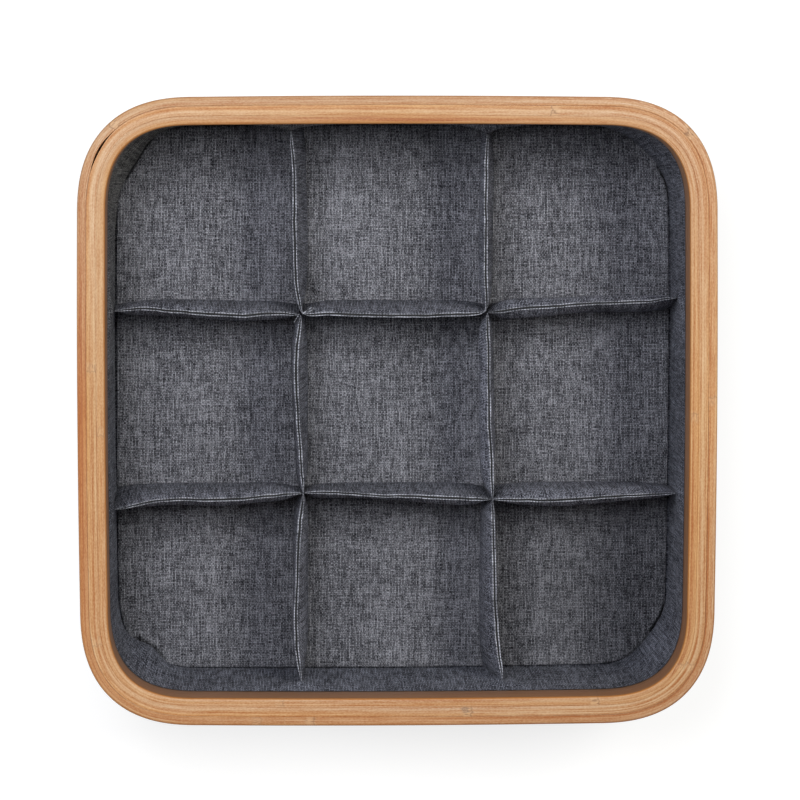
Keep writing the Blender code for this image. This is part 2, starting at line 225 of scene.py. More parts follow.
def grid_object(name, x, y, z, material, is_tube=False, **kept):
    """A mesh from grids of coordinates, rows by columns, and values kept at its points.

    A single row, column or number stands for a whole grid. Each kept value is a grid, for a
    number, or a tuple of three grids, for a vector. A tube's last column meets its first,
    and its end rows are closed.
    """
    shape = rows, columns = np.broadcast(x, y, z).shape
    points = np.stack([np.broadcast_to(part, shape) for part in (x, y, z)], axis=-1)
    across = columns if is_tube else columns - 1
    row, column = np.meshgrid(np.arange(rows - 1), np.arange(across), indexing="ij")
    following = (column + 1) % columns
    corners = [
        row * columns + column,
        (row + 1) * columns + column,
        (row + 1) * columns + following,
        row * columns + following,
    ]
    faces = np.stack(corners, axis=-1).reshape(-1, 4).tolist()
    if is_tube:
        last_row = (rows - 1) * columns
        for near in range(columns // 2 - 1):
            far = columns - 1 - near
            faces.append([near, near + 1, far - 1, far])
            faces.append([last_row + place for place in (far, far - 1, near + 1, near)])
    made = mesh_object(name, points.reshape(-1, 3).tolist(), faces, material)
    for key, value in kept.items():
        is_vector = isinstance(value, tuple)
        kind, field = ("FLOAT_VECTOR", "vector") if is_vector else ("FLOAT", "value")
        parts = [np.broadcast_to(part, shape) for part in (value if is_vector else (value,))]
        attribute = made.data.attributes.new(key, kind, "POINT")
        attribute.data.foreach_set(field, np.stack(parts, axis=-1).ravel())
    if is_tube:
        made.data.set_sharp_from_angle(angle=SHARP_ANGLE)
    return made


def dressed(name, slot, x, y, z, material, **kept):
    """A finer piece, from grids, in the place of the CAD piece of that name."""
    piece = grid_object("dressed_" + name, x, y, z, material, **kept)
    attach(piece, BODY)
    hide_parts(name)
    return piece


class Value:
    """What a node gives out. Sums, products and the like of values add math nodes."""

    def __init__(self, nodes, socket):
        self.nodes = nodes
        self.socket = socket

    def __add__(self, other):
        return self.nodes.math("ADD", self, other)

    def __sub__(self, other):
        return self.nodes.math("SUBTRACT", self, other)

    def __rsub__(self, other):
        return self.nodes.math("SUBTRACT", other, self)

    def __mul__(self, other):
        return self.nodes.math("MULTIPLY", self, other)

    def __truediv__(self, other):
        return self.nodes.math("DIVIDE", self, other)

    def __abs__(self):
        return self.nodes.math("ABSOLUTE", self)


class Nodes:
    """A node tree and short calls that add nodes to it."""

    def __init__(self, tree):
        self.tree = tree

    def feed(self, socket, value):
        """Gives a socket another node's output, or a plain value."""
        if isinstance(value, Value):
            self.tree.links.new(value.socket, socket)
        else:
            socket.default_value = value

    def node(self, kind, *inputs, operation=None):
        """A new node, with the inputs in its first sockets."""
        node = self.tree.nodes.new("ShaderNode" + kind)
        if operation:
            node.operation = operation
        for socket, value in zip(node.inputs, inputs):
            self.feed(socket, value)
        return node

    def math(self, operation, first, second=0.0):
        return Value(self, self.node("Math", first, second, operation=operation).outputs[0])

    def part(self, vector, axis):
        """One coordinate of a vector."""
        return Value(self, self.node("SeparateXYZ", vector).outputs[axis])

    def hypotenuse(self, first, second):
        """How long a step along two axes is."""
        return self.math("SQRT", first * first + second * second)

    def place(self):
        """The place on the object, in metres."""
        return Value(self, self.node("TexCoord").outputs["Object"])

    def seen_directly(self):
        """1 for what the camera, a mirror or clear glass sees, and 0 for light on its way."""
        path = self.node("LightPath")
        camera, glossy, clear = (
            Value(self, path.outputs[name])
            for name in ("Is Camera Ray", "Is Glossy Ray", "Is Transmission Ray")
        )
        return self.math("MAXIMUM", self.math("MAXIMUM", camera, glossy), clear)

    def reach(self, value, low, high, out_low=0.0, out_high=1.0):
        """The value taken smoothly from one range to another, and held at its ends."""
        node = self.node("MapRange", value, low, high, out_low, out_high)
        node.interpolation_type = "SMOOTHSTEP"
        return Value(self, node.outputs[0])


class Finish(Nodes):
    """One procedural material."""

    def __init__(self, name, **sockets):
        self.material = bpy.data.materials.new(name)
        self.material.use_nodes = True
        super().__init__(self.material.node_tree)
        self.shader = self.tree.nodes["Principled BSDF"]
        self.set_shader(**sockets)

    def set_shader(self, **sockets):
        """Gives the shader's own sockets their values, with _ for a space in a name."""
        for name, value in sockets.items():
            self.feed(self.shader.inputs[name.replace("_", " ")], value)

    def kept(self, name, output="Fac"):
        """A number, or a Vector, that the mesh keeps at its points."""
        node = self.node("Attribute")
        node.attribute_name = name
        return Value(self, node.outputs[output])

    def noise(self, vector, per_metre, detail=0.0):
        """Noise from 0 to 1 with its own number of grains per metre along each coordinate."""
        node = self.node("TexNoise", self.product(vector, per_metre))
        node.inputs["Scale"].default_value = 1.0
        node.inputs["Detail"].default_value = detail
        return Value(self, node.outputs[0])

    def centred(self, value, factor):
        """The value less a half, times a factor."""
        return (value - 0.5) * factor

    def mix(self, share, first, second):
        """A colour between two colours."""
        node = self.node("Mix", share)
        node.data_type = "RGBA"
        colors = [socket for socket in (*node.inputs, *node.outputs) if socket.type == "RGBA"]
        self.feed(colors[0], first)
        self.feed(colors[1], second)
        return Value(self, colors[2])

    def scale(self, color, factor):
        """A colour made lighter or darker by a factor."""
        node = self.node("VectorMath", color, operation="SCALE")
        self.feed(node.inputs["Scale"], factor)
        return Value(self, node.outputs[0])

    def product(self, first, second):
        """Two colours or vectors multiplied."""
        return Value(self, self.node("VectorMath", first, second, operation="MULTIPLY").outputs[0])

    def ramp(self, value, stops):
        """A colour read from stops of place and colour."""
        node = self.node("ValToRGB", value)
        elements = node.color_ramp.elements
        while len(elements) < len(stops):
            elements.new(0.5)
        for element, (place, color) in zip(elements, stops):
            element.position = place
            element.color = (*color, 1.0)
        return Value(self, node.outputs[0])

    def relief(self, height, depth):
        """Fine relief of the given depth in metres."""
        node = self.node("Bump")
        node.inputs["Strength"].default_value = 1.0
        node.inputs["Distance"].default_value = depth
        self.feed(node.inputs["Height"], height)
        self.set_shader(Normal=Value(self, node.outputs[0]))


# Pitch of the cloth's threads, and how many grains a metre of light and dark lie along
# them, short ones and long ones, each with its weight
WARP_PITCH = 0.00079
WEFT_PITCH = 0.00097
WARP_GRAINS = ((150.0, 1.00), (26.0, 0.32))
WEFT_GRAINS = ((200.0, 0.62), (34.0, 0.26))
WARP_SEED = 3.17
WEFT_SEED = 61.3
# How far apart two neighbouring threads lie in the short and in the long grains
THREAD_SPREADS = (7.31, 3.17)
# How much of the warp shows where the weft lies on top, and where the warp does
WARP_SHARES = (0.28, 0.76)
# How far the threads wander, and how far the weave is stretched up the walls
WANDER_GRAIN = (45.0, 45.0, 0.0)
THREAD_WANDER = 0.0012
WALL_WEAVE_STRETCH = 0.42
# How much lighter the crowns where threads cross are, and the ribs along the warp
CROWN_FULL = 0.8
CROWN_LEVEL = 0.6
CROWN_WEIGHT = 0.16
RIB_LEVEL = 0.64
RIB_WEIGHT = 0.26
WEAVE_RELIEF = 0.00010
# Specks, bands and clouds of light and dark: grains a metre, detail and weight
CLOTH_LAYERS = (
    ((2700.0, 1100.0, 0.0), 0.0, 1.00),
    ((36.0, 3.0, 0.0), 1.0, 0.24),
    ((26.0, 26.0, 0.0), 2.0, 0.08),
)
# The cloth's colours from its darkest to its lightest threads
CLOTH_STOPS = (
    (0.20, (0.016, 0.016, 0.020)),
    (0.35, (0.059, 0.060, 0.070)),
    (0.50, (0.141, 0.143, 0.165)),
    (0.65, (0.262, 0.266, 0.303)),
    (0.80, (0.420, 0.426, 0.480)),
)
# How far from a fold its painted shadow line starts to fade and has gone
CREASE_SHADOW_WIDTH = (0.0003, 0.0013)
# Painted shadow of a pocket pressed into the floor cloth at the front left corner, with no
# pocket in the mesh: its place, its radius, where its dark middle ends as a share of that,
# how long it is, and how dark
DIMPLE_PLACE = (-0.1338, -0.1272)
DIMPLE_RADIUS = 0.0018
DIMPLE_MIDDLE = 0.4
DIMPLE_SQUEEZE = 0.7
DIMPLE_SHADE = 0.25
# The colour by which the lining is multiplied for painted light bounced from the rim's brown
RIM_BOUNCE_TINT = (1.06, 0.98, 0.74)
# Painted highlight along a sleeve's folds, beaded like their threads, and where it is
# brighter and dimmer along them
FOLD_HIGHLIGHT_COLOR = (0.45, 0.47, 0.54)
BEAD_PITCH = 0.0015
BEAD_LEVELS = (0.42, 1.08)
BEAD_THREAD_WEIGHT = 1.4
FOLD_HIGHLIGHT_GRAIN = (110.0, 420.0, 0.0)
FOLD_HIGHLIGHT_LEVELS = (0.38, 0.60, 0.55, 1.12)


def thread_tone(finish, index, along, seed, grains):
    """One thread's light and dark stretches, from pairs of grains a metre and weight."""
    tone = 0.5
    for spread, (grain, weight) in zip(THREAD_SPREADS, grains):
        place = finish.node("CombineXYZ", index * spread, along * grain, seed)
        stretches = finish.noise(Value(finish, place.outputs[0]), (1.0, 1.0, 1.0))
        tone = finish.centred(stretches, weight) + tone
    return tone


def cloth_finish(name, painted_light, contrast, sheen, creased=False):
    """Plain weave in which each thread has its own lighter and darker stretches.

    The colour that the cloth's own is multiplied by is painted light and shade, which makes
    lighter and darker copies of one cloth, and contrast says how far its threads differ. A cloth
    with painted shadows has a painted shadow line where the lining's folds meet it, and a
    painted shadow in a pocket at its front left corner.
    """
    finish = Finish(
        name, Roughness=0.95, Sheen_Weight=sheen, Sheen_Roughness=0.40, Specular_IOR_Level=sheen,
    )
    weave = finish.kept("weave", "Vector")
    weave_along, weave_up = finish.part(weave, 0), finish.part(weave, 1)
    wander = finish.centred(finish.noise(weave, WANDER_GRAIN, 1.0), THREAD_WANDER)
    along = weave_along + wander
    up = weave_up + wander
    across_warp = along / WARP_PITCH
    across_weft = up / WEFT_PITCH
    column = finish.math("FLOOR", across_warp)
    row = finish.math("FLOOR", across_weft)
    warp = thread_tone(finish, column, up, WARP_SEED, WARP_GRAINS)
    weft = thread_tone(finish, row, along, WEFT_SEED, WEFT_GRAINS)
    is_warp_up = finish.math("FLOORED_MODULO", column + row, 2.0)
    thread = weft + finish.reach(is_warp_up, 0.0, 1.0, *WARP_SHARES) * (warp - weft)
    warp_rib, weft_rib = (
        finish.math("SINE", finish.math("FRACT", place) * math.pi)
        for place in (across_warp, across_weft)
    )
    crown = finish.reach(warp_rib * weft_rib, 0.0, CROWN_FULL)
    value = thread + (crown - CROWN_LEVEL) * CROWN_WEIGHT + (warp_rib - RIB_LEVEL) * RIB_WEIGHT
    for grains, detail, weight in CLOTH_LAYERS:
        value = value + finish.centred(finish.noise(weave, grains, detail), weight)
    value = finish.centred(value, contrast) + 0.5
    shade = finish.kept("shade")
    if creased:
        # Painted shadow line where the lining's folds meet the floor cloth
        line = finish.reach(finish.kept("from_fold"), *CREASE_SHADOW_WIDTH, 1.0, 0.0)
        shade = shade * (1.0 - line * finish.kept("crease"))
        # Painted shadow of the pocket at the front left corner
        aside = abs(weave_along - DIMPLE_PLACE[0])
        ahead = abs(weave_up - DIMPLE_PLACE[1])
        away = aside + ahead * DIMPLE_SQUEEZE
        middle = DIMPLE_RADIUS * DIMPLE_MIDDLE
        shade = shade * finish.reach(away, middle, DIMPLE_RADIUS, DIMPLE_SHADE, 1.0)
    color = finish.scale(finish.product(finish.ramp(value, CLOTH_STOPS), painted_light), shade)
    # Painted light bounced from the rim's brown, where the mesh keeps warm
    color = finish.mix(finish.kept("warm"), color, finish.product(color, RIM_BOUNCE_TINT))
    # Painted highlight along the sleeves' folds and on the loose fold and thread
    bead = finish.math("SINE", weave_along * (2 * math.pi / BEAD_PITCH))
    bead = finish.reach(bead, -1.0, 1.0, *BEAD_LEVELS) + finish.centred(thread, BEAD_THREAD_WEIGHT)
    bead = bead * finish.reach(finish.noise(weave, FOLD_HIGHLIGHT_GRAIN, 1.0), *FOLD_HIGHLIGHT_LEVELS)
    color = finish.mix(finish.kept("edge"), color, finish.scale(FOLD_HIGHLIGHT_COLOR, bead))
    finish.set_shader(Base_Color=color)
    finish.relief(crown, WEAVE_RELIEF)
    return finish.material


# Rim
OUTER_JOINT = (OUTER_PLY_INNER + MIDDLE_PLY_OUTER) / 2
INNER_JOINT = (MIDDLE_PLY_INNER + BODY_OUTER) / 2
PLY_ARRIS = 0.0014
INNER_ARRIS = 0.0013
GLUE_ARRIS = 0.00012
GLUE = 0.00001
SCARF_GAP = 0.00004
SCARF_FADE = 0.080
PLY_UNEVENNESS = 0.00012
UNEVENNESS_GRAIN = 16
ARRIS_POINTS = 5
LEVEL_POINTS = 5

# Where each ply's scarf lies, as a share of the way round from the middle of the right side
OUTER_SCARF_SHARE = 0.385
MIDDLE_SCARF_SHARE = 0.625
INNER_SCARF_SHARE = 0.875

# The split behind the outer ply: its middle, as such a share, its length and its width, and
# how much of the width is taken from the outer ply and from the middle one
CRACK_SHARE = 0.3860
CRACK_LENGTH = 0.026
CRACK_WIDTH = 0.0011
OUTER_CRACK_SHARE = 0.6
MIDDLE_CRACK_SHARE = 0.4

# Bamboo fibres: layers of grains a metre along, across and up the ply, detail and weight
FIBRE_LAYERS = (
    ((6.0, 1500.0, 1500.0), 1.0, 0.80),
    ((60.0, 1500.0, 1500.0), 0.0, 0.55),
    ((900.0, 1900.0, 1900.0), 0.0, 0.50),
    ((8.0, 90.0, 90.0), 2.0, 0.40),
)
STREAK_GRAIN = (5.0, 620.0, 620.0)
STREAK_WEIGHT = 2.2
STRIP_GRAIN = (4.0, 300.0, 300.0)
BREAK_GRAIN = (210.0, 900.0, 900.0)
BREAK_LEVELS = (0.38, 0.56)
RED_GRAIN = (4.0, 900.0, 500.0)
RED_LEVELS = (0.56, 0.68)
RED_FIBRE = (0.36, 0.120, 0.034, 1.0)
DASH_RELIEF_SHARE = 0.6
FIBRE_RELIEF = 0.00007
FIBRE_ROUGHNESS = (0.38, 0.55)

# The stain beside each glue line: its joint, half its width, and how strong it is
GLUE_STAIN = (0.20, 0.080, 0.032, 1.0)
STAIN_LINES = ((OUTER_JOINT, 0.00042, 0.75), (INNER_JOINT, 0.00025, 0.14))
STAIN_CORE = 0.00008
STAIN_WOBBLE_GRAIN = (18.0, 0.0, 0.0)
STAIN_WOBBLE = 0.0005

# Bamboo nodes: a pale band with short dark fibres, and a dark line on one side of it
NODE_PALE = (0.70, 0.47, 0.27, 1.0)
NODE_DARK = (0.20, 0.085, 0.035, 1.0)
NODE_WANDER_GRAIN = (60.0, 500.0, 500.0)
NODE_WANDER = 0.004
NODE_BAND = (0.0036, 0.0012)
NODE_FIBRE_GRAIN = (260.0, 1500.0, 1500.0)
NODE_FIBRE_LEVELS = (0.50, 0.62)
NODE_LINE_PLACE = 0.0018
NODE_LINE = (0.0006, 0.0002)
BAND_STRENGTH = 0.45
NODE_FIBRE_STRENGTH = 0.80
LINE_STRENGTH = 0.55

# A knot in the middle ply at the front: its place round the edge, its inset and its radius,
# where its brown is full as a share of that, and the pitch of its arcs
KNOT = (0.75 * EDGE_LENGTH + 0.0337, 0.0079, 0.0024)
KNOT_FULL = 0.45
KNOT_BROWN = (0.27, 0.165, 0.105, 1.0)
KNOT_ARC_PITCH = 0.0009
KNOT_ARC_LEVELS = (0.35, 0.80)

# Darker, browner colour at the outer ply's edge and on the rim's inner edge and face, painted
# shade where these turn away from the light, from where it starts to where it is full, by inset
# and by height
EDGE_SHADE_BROWN = (0.40, 0.150, 0.030, 1.0)
FACE_SHADE_BROWN = (0.305, 0.145, 0.074, 1.0)
OUTER_EDGE_INSETS = (0.0008, 0.0001)
OUTER_EDGE_HEIGHTS = (0.0965, 0.0990)
OUTER_EDGE_STRENGTH = 0.55
INNER_EDGE_INSETS = (0.01290, 0.01370)
INNER_EDGE_STRENGTH = 0.80
INNER_FACE_HEIGHTS = (0.0992, 0.0984)

# Darkest, middle and lightest fibres, as shares of the tone and its headroom
FIBRE_STOPS = (
    (0.10, (0.400, 0.270, 0.150)),
    (0.50, (0.560, 0.560, 0.560)),
    (0.90, (0.690, 0.830, 1.000)),
)
# Orange strips, plain ones and creamy ones, which lie side by side in a ply
STRIP_STOPS = (
    (0.30, (0.775, 0.680, 0.520)),
    (0.50, (0.800, 0.800, 0.800)),
    (0.68, (0.820, 0.880, 0.980)),
)
TONE_HEADROOM = 2.232


def bamboo_finish(name):
    """Sanded and oiled bamboo whose fibres follow the bend of the ply."""
    finish = Finish(name, Specular_IOR_Level=0.35)
    grain = finish.kept("grain", "Vector")
    inset = finish.part(grain, 1)
    height = finish.part(grain, 2)
    layers = [finish.noise(grain, grains, detail) for grains, detail, _ in FIBRE_LAYERS]
    fibres, dashes = layers[:2]
    value = 0.5
    for layer, (_, _, weight) in zip(layers, FIBRE_LAYERS):
        value = finish.centred(layer, weight) + value
    streaks = finish.centred(finish.noise(grain, STREAK_GRAIN, 1.0), STREAK_WEIGHT)
    value = value + streaks * finish.kept("streak")
    color = finish.product(finish.kept("tone", "Vector"), finish.ramp(value, FIBRE_STOPS))
    strips = finish.ramp(finish.noise(grain, STRIP_GRAIN, 2.0), STRIP_STOPS)
    color = finish.scale(finish.product(color, strips), TONE_HEADROOM)

    broken = finish.reach(finish.noise(grain, BREAK_GRAIN, 1.0), *BREAK_LEVELS)
    red = finish.reach(finish.noise(grain, RED_GRAIN, 1.0), *RED_LEVELS)
    color = finish.mix(red * broken * finish.kept("redness"), color, RED_FIBRE)
    wobble = finish.centred(finish.noise(grain, STAIN_WOBBLE_GRAIN, 2.0), STAIN_WOBBLE)
    for joint, width, share in STAIN_LINES:
        stain = finish.reach(abs(inset + wobble - joint), width, STAIN_CORE, 0.0, share)
        stain = stain * finish.reach(broken, 0.0, 1.0, 0.35, 1.0)
        color = finish.mix(stain * finish.kept("stain"), color, GLUE_STAIN)

    wander = finish.centred(finish.noise(grain, NODE_WANDER_GRAIN, 1.0), NODE_WANDER)
    ring = finish.kept("node_offset") + wander
    strength = finish.kept("node_strength")
    band = finish.reach(abs(ring), *NODE_BAND) * strength
    color = finish.mix(band * BAND_STRENGTH, color, NODE_PALE)
    short_fibres = finish.reach(finish.noise(grain, NODE_FIBRE_GRAIN, 1.0), *NODE_FIBRE_LEVELS)
    color = finish.mix(band * short_fibres * NODE_FIBRE_STRENGTH, color, NODE_DARK)
    line = finish.reach(abs(ring - NODE_LINE_PLACE), *NODE_LINE)
    color = finish.mix(line * strength * LINE_STRENGTH, color, NODE_DARK)

    knot_along, knot_inset, knot_radius = KNOT
    ahead = finish.part(grain, 0) + wander - knot_along
    away = finish.hypotenuse(ahead, inset - knot_inset)
    knot = finish.reach(away, knot_radius, knot_radius * KNOT_FULL)
    arcs = finish.math("SINE", away * (2 * math.pi / KNOT_ARC_PITCH))
    color = finish.mix(knot * finish.reach(arcs, -1.0, 1.0, *KNOT_ARC_LEVELS), color, KNOT_BROWN)

    # Painted shade on the rim's outer edge, its inner edge and its inner face
    outer_edge = finish.reach(inset, *OUTER_EDGE_INSETS, 0.0, OUTER_EDGE_STRENGTH)
    outer_edge = outer_edge * finish.reach(height, *OUTER_EDGE_HEIGHTS, 0.10, 1.0)
    color = finish.mix(outer_edge, color, EDGE_SHADE_BROWN)
    inner_edge = finish.reach(inset, *INNER_EDGE_INSETS, 0.0, INNER_EDGE_STRENGTH)
    inner_shade_brown = finish.mix(finish.reach(height, *INNER_FACE_HEIGHTS), EDGE_SHADE_BROWN, FACE_SHADE_BROWN)
    color = finish.mix(inner_edge, color, inner_shade_brown)
    finish.set_shader(Base_Color=color, Roughness=finish.reach(fibres, 0.2, 0.8, *FIBRE_ROUGHNESS))
    finish.relief(fibres + dashes * DASH_RELIEF_SHARE, FIBRE_RELIEF)
    return finish.material


# Colours of the darkest and lightest specks of board, card and sewing thread; the card is
# near black, as painted shade in the slits above it
BOARD_STOPS = ((0.3, (0.225, 0.180, 0.1275)), (0.7, (0.375, 0.300, 0.2125)))
SLIT_SHADE_CARD_STOPS = ((0.3, (0.024, 0.024, 0.0256)), (0.7, (0.036, 0.036, 0.0384)))
THREAD_STOPS = ((0.35, (0.130, 0.134, 0.148)), (0.65, (0.290, 0.296, 0.315)))


def speckled_finish(name, stops, per_metre, detail, depth, **sockets):
    """A plain material with fine lighter and darker specks."""
    finish = Finish(name, **sockets)
    specks = finish.noise(finish.place(), per_metre, detail)
    finish.set_shader(Base_Color=finish.ramp(specks, stops))
    finish.relief(specks, depth)
    return finish.material


# Each table of eight numbers below gives a value round the tray: at the middle of the right
# side, the back right corner, the middle of the back, and so on to the front right corner

# Three tones of bamboo, and for each ply how much of the second and of the third it has and
# how light it is
PALE_TONE = (0.590, 0.312, 0.128)
ORANGE_TONE = (0.510, 0.186, 0.047)
ROSY_TONE = (0.555, 0.335, 0.197)
OUTER_TONE_SHARES = (
    (0.20, 0.00, 0.30, 0.10, 1.00, 0.50, 0.60, 0.50),
    (0.10, 0.75, 0.50, 0.55, 0.00, 0.25, 0.30, 0.30),
    (0.955, 1.02, 0.84, 0.87, 0.86, 0.87, 0.87, 0.80),
)
MIDDLE_TONE_SHARES = (
    (0.12, 0.00, 0.00, 0.00, 0.10, 0.05, 0.00, 0.10),
    (0.00, 0.85, 0.10, 0.50, 0.00, 0.35, 0.80, 0.35),
    (0.91, 0.99, 0.93, 0.97, 0.87, 0.96, 0.94, 0.83),
)
INNER_TONE_SHARES = (
    (0.12, 0.05, 0.50, 0.10, 0.00, 0.10, 0.00, 0.38),
    (0.00, 0.65, 0.00, 0.40, 0.25, 0.25, 0.75, 0.05),
    (0.91, 0.93, 0.80, 0.86, 0.89, 0.93, 0.95, 0.79),
)

# How much the alternate fibres, the red fibres and the stain beside the glue show
STREAK_SHARES = (0.45, 0.32, 0.48, 0.42, 0.36, 0.45, 0.36, 0.95)
RED_SHARES = (0.45, 0.70, 0.35, 0.80, 0.85, 0.50, 0.40, 0.90)
STAIN_SHARES = (0.70, 0.45, 0.35, 0.70, 0.60, 0.45, 0.35, 0.70)

# How light the lining is painted round the tray: painted shade
LINING_SHADES = (0.86, 0.93, 0.88, 1.00, 1.00, 0.98, 0.97, 0.86)

# Extra room between the floor panel's edge and the lining, and how much darker the floor
# cloth is along its edge, as painted shade
FLOOR_EDGE_ROOM = (0.0003, 0.0004, 0.0003, 0.0005, 0.0002, -0.0002, 0.0002, 0.0008)
EDGE_SHADES = (0.16, 0.16, 0.17, 0.15, 0.17, 0.06, 0.05, 0.08)

# Bamboo nodes: share of the way round, and how strongly the ring shows
OUTER_NODE_SHARES = ((0.3726, 0.9), (0.1216, 0.8), (0.7125, 0.7), (0.6898, 0.4), (0.0050, 0.5))
MIDDLE_NODE_SHARES = ((0.1839, 0.8), (0.4806, 0.5), (0.7795, 0.8), (0.8873, 0.5), (0.5985, 0.5))
INNER_NODE_SHARES = ((0.5078, 0.4), (0.8342, 0.8), (0.9979, 0.5), (0.6999, 0.4), (0.8850, 0.5))


def tone_round(distance, tone_shares):
    """The bamboo's tone at distances round the edge, blended from side to side."""
    orange, rosy, level = (value_round(distance, shares) for shares in tone_shares)
    return tuple(
        level * ((pale + orange * (warm - pale)) * (1 - rosy) + rosy * cool)
        for pale, warm, cool in zip(PALE_TONE, ORANGE_TONE, ROSY_TONE)
    )


def nearest_node(distance, node_shares):
    """How far the nearest bamboo node is, and how strongly it shows."""
    offsets = np.array([distance_from(distance, share * EDGE_LENGTH) for share, _ in node_shares])
    nearest = np.argmin(np.abs(offsets), axis=0)
    strength = np.array([strength for _, strength in node_shares])[nearest]
    return np.take_along_axis(offsets, nearest[None], axis=0)[0], strength


def crack_opening(distance):
    """How far the glue line behind the outer ply has opened."""
    along = distance_from(distance, CRACK_SHARE * EDGE_LENGTH) / (CRACK_LENGTH / 2)
    return CRACK_WIDTH * np.clip(1 - along ** 2, 0, 1) ** 1.5


def half_section(outer_radius, inner_radius, thickness):
    """The ply's section over its top, from its outer face to its inner one.

    Each point is a share of the way across, an offset from that, and a drop from the top.
    """
    outer, inner = [], []
    for bend in np.linspace(0, math.pi / 2, ARRIS_POINTS):
        inward, drop = 1 - math.cos(bend), 1 - math.sin(bend)
        outer.append((0.0, outer_radius * inward, outer_radius * drop))
        inner.append((1.0, -inner_radius * inward, inner_radius * drop))
    shares = np.linspace(outer_radius / thickness, 1 - inner_radius / thickness, LEVEL_POINTS + 2)
    return outer + [(share, 0.0, 0.0) for share in shares[1:-1]] + inner[::-1]


def make_ply(
    name, slot, material, insets, crack_shares, radii, low, scarf_share, tone_shares, node_shares,
    redness,
):
    """A bamboo strip bent into a hoop, its two feathered ends lapped at the scarf.

    insets are those of its outer and inner faces, crack_shares say how far each of them
    goes inward at the split, and radii are those of its outer and inner edges.
    """
    thickness = insets[1] - insets[0]
    top = half_section(*radii, thickness)
    share, offset, drop = (np.array(part) for part in zip(*(top + top[::-1])))
    is_top = np.arange(len(share)) < len(top)
    height = np.where(is_top, HEIGHT - drop, low + drop)
    depth_share = share + offset / thickness
    ends = (SCARF_GAP / 2, EDGE_LENGTH - SCARF_GAP / 2)
    travel = np.linspace(*ends, int(EDGE_LENGTH / PLY_STEP))[:, None]
    end_distance = np.minimum(travel, EDGE_LENGTH - travel)
    lap = SCARF_RUN * (1 - rise(end_distance, 0, SCARF_FADE))
    distance = scarf_share * EDGE_LENGTH + travel + (depth_share - 0.5) * lap
    opening = is_top * crack_opening(distance)
    outer, inner = (inset + share * opening for inset, share in zip(insets, crack_shares))
    inset = outer + (inner - outer) * share + offset
    x, y = edge_place(distance, inset)
    bumps = soft_noise(distance[:, :1] * UNEVENNESS_GRAIN, scarf_share * 50)
    z = height + np.where(is_top, PLY_UNEVENNESS * (bumps - 1), 0)
    node_offset, node_strength = nearest_node(distance, node_shares)
    dressed(
        name, slot, x, y, z, material, is_tube=True,
        grain=(distance, inset, z),
        tone=tone_round(distance, tone_shares),
        redness=redness * value_round(distance, RED_SHARES),
        streak=value_round(distance, STREAK_SHARES),
        stain=value_round(distance, STAIN_SHARES),
        node_offset=node_offset,
        node_strength=node_strength,
    )


def make_rim(bamboo):
    """The three plies with their glue lines, one of which has opened at a corner."""
    make_ply(
        "rim_outer_ply", "bamboo_outer_ply", bamboo, (0.0, OUTER_JOINT - GLUE / 2),
        (0.0, -OUTER_CRACK_SHARE), (PLY_ARRIS, GLUE_ARRIS), RIM_LOW,
        OUTER_SCARF_SHARE, OUTER_TONE_SHARES, OUTER_NODE_SHARES, redness=1.0,
    )
    make_ply(
        "rim_middle_ply", "bamboo", bamboo, (OUTER_JOINT + GLUE / 2, INNER_JOINT - GLUE / 2),
        (MIDDLE_CRACK_SHARE, 0.0), (GLUE_ARRIS, GLUE_ARRIS), RIM_LOW,
        MIDDLE_SCARF_SHARE, MIDDLE_TONE_SHARES, MIDDLE_NODE_SHARES, redness=0.30,
    )
    make_ply(
        "rim_inner_ply", "bamboo", bamboo, (INNER_JOINT + GLUE / 2, LINING_INNER),
        (0.0, 0.0), (GLUE_ARRIS, INNER_ARRIS), INNER_PLY_LOW,
        INNER_SCARF_SHARE, INNER_TONE_SHARES, INNER_NODE_SHARES, redness=0.30,
    )


def height_share(height):
    """The height as a share of the way from the dividers' base to their top edge."""
    return (height - DIVIDER_BASE) / (DIVIDER_TOP - DIVIDER_BASE)


# Where the lining is drawn in by a divider's end: the middle of its side as a share of the
# way round, the way that the side's own coordinate runs, the divider's line, its sway share
# at the wall, and how far the lining is drawn in
PULL_SHARES = (
    (0.00, 1, ROW_LINE, BACK_SWAY_SHARES[-1], 0.0022),
    (0.00, 1, -ROW_LINE, FRONT_SWAY_SHARES[-1], 0.0018),
    (0.25, -1, COLUMN_LINE, RIGHT_SWAY_SHARES[-1], 0.0050),
    (0.25, -1, -COLUMN_LINE, LEFT_SWAY_SHARES[-1], 0.0034),
    (0.50, -1, ROW_LINE, BACK_SWAY_SHARES[0], 0.0024),
    (0.50, -1, -ROW_LINE, FRONT_SWAY_SHARES[0], 0.0020),
    (0.75, 1, -COLUMN_LINE, LEFT_SWAY_SHARES[0], 0.0018),
    (0.75, 1, COLUMN_LINE, RIGHT_SWAY_SHARES[0], 0.0022),
)
PULL_WIDTH = 0.0065
# The pull's width at the foot as a share of that, how fast it widens above the divider,
# how deep it is at the foot, and how far below the lining's top it has gone
PULL_FOOT_WIDTH = 0.6
PULL_SPREAD = 0.7
PULL_FOOT_DEPTH = 0.25
PULL_END = 0.002

# Where the lining stands off the board at the foot of the wall: the place as a share of the
# way round, how far it stands off, and how wide the fold is
BILLOW_SHARES = (
    (0.3840, 0.0062, 0.028),
    (0.1250, 0.0050, 0.030),
    (0.6300, 0.0062, 0.017),
    (0.8800, 0.0044, 0.028),
    (0.7500, 0.0008, 0.080),
)
BILLOW_RISE = 0.003
BILLOW_FALL = (0.010, 0.062)
# Ripples of the lining: how deep, how far off the board their middle lies, by which height
# they are full and between which ones they stop, and then their grains per metre round the
# tray and upward, with a seed and a weight
LINING_RIPPLE = 0.00035
LINING_SLACK = 0.0003
RIPPLE_START = 0.014
RIPPLE_STOP = (0.060, 0.074)
RIPPLE_GRAINS = ((55, 30, 3.0, 1.0), (130, 45, 8.0, 0.6))
# The turned-in foot lies half its cloth's thickness above the body's floor
LINING_FOOT = BODY_FLOOR + 0.0003


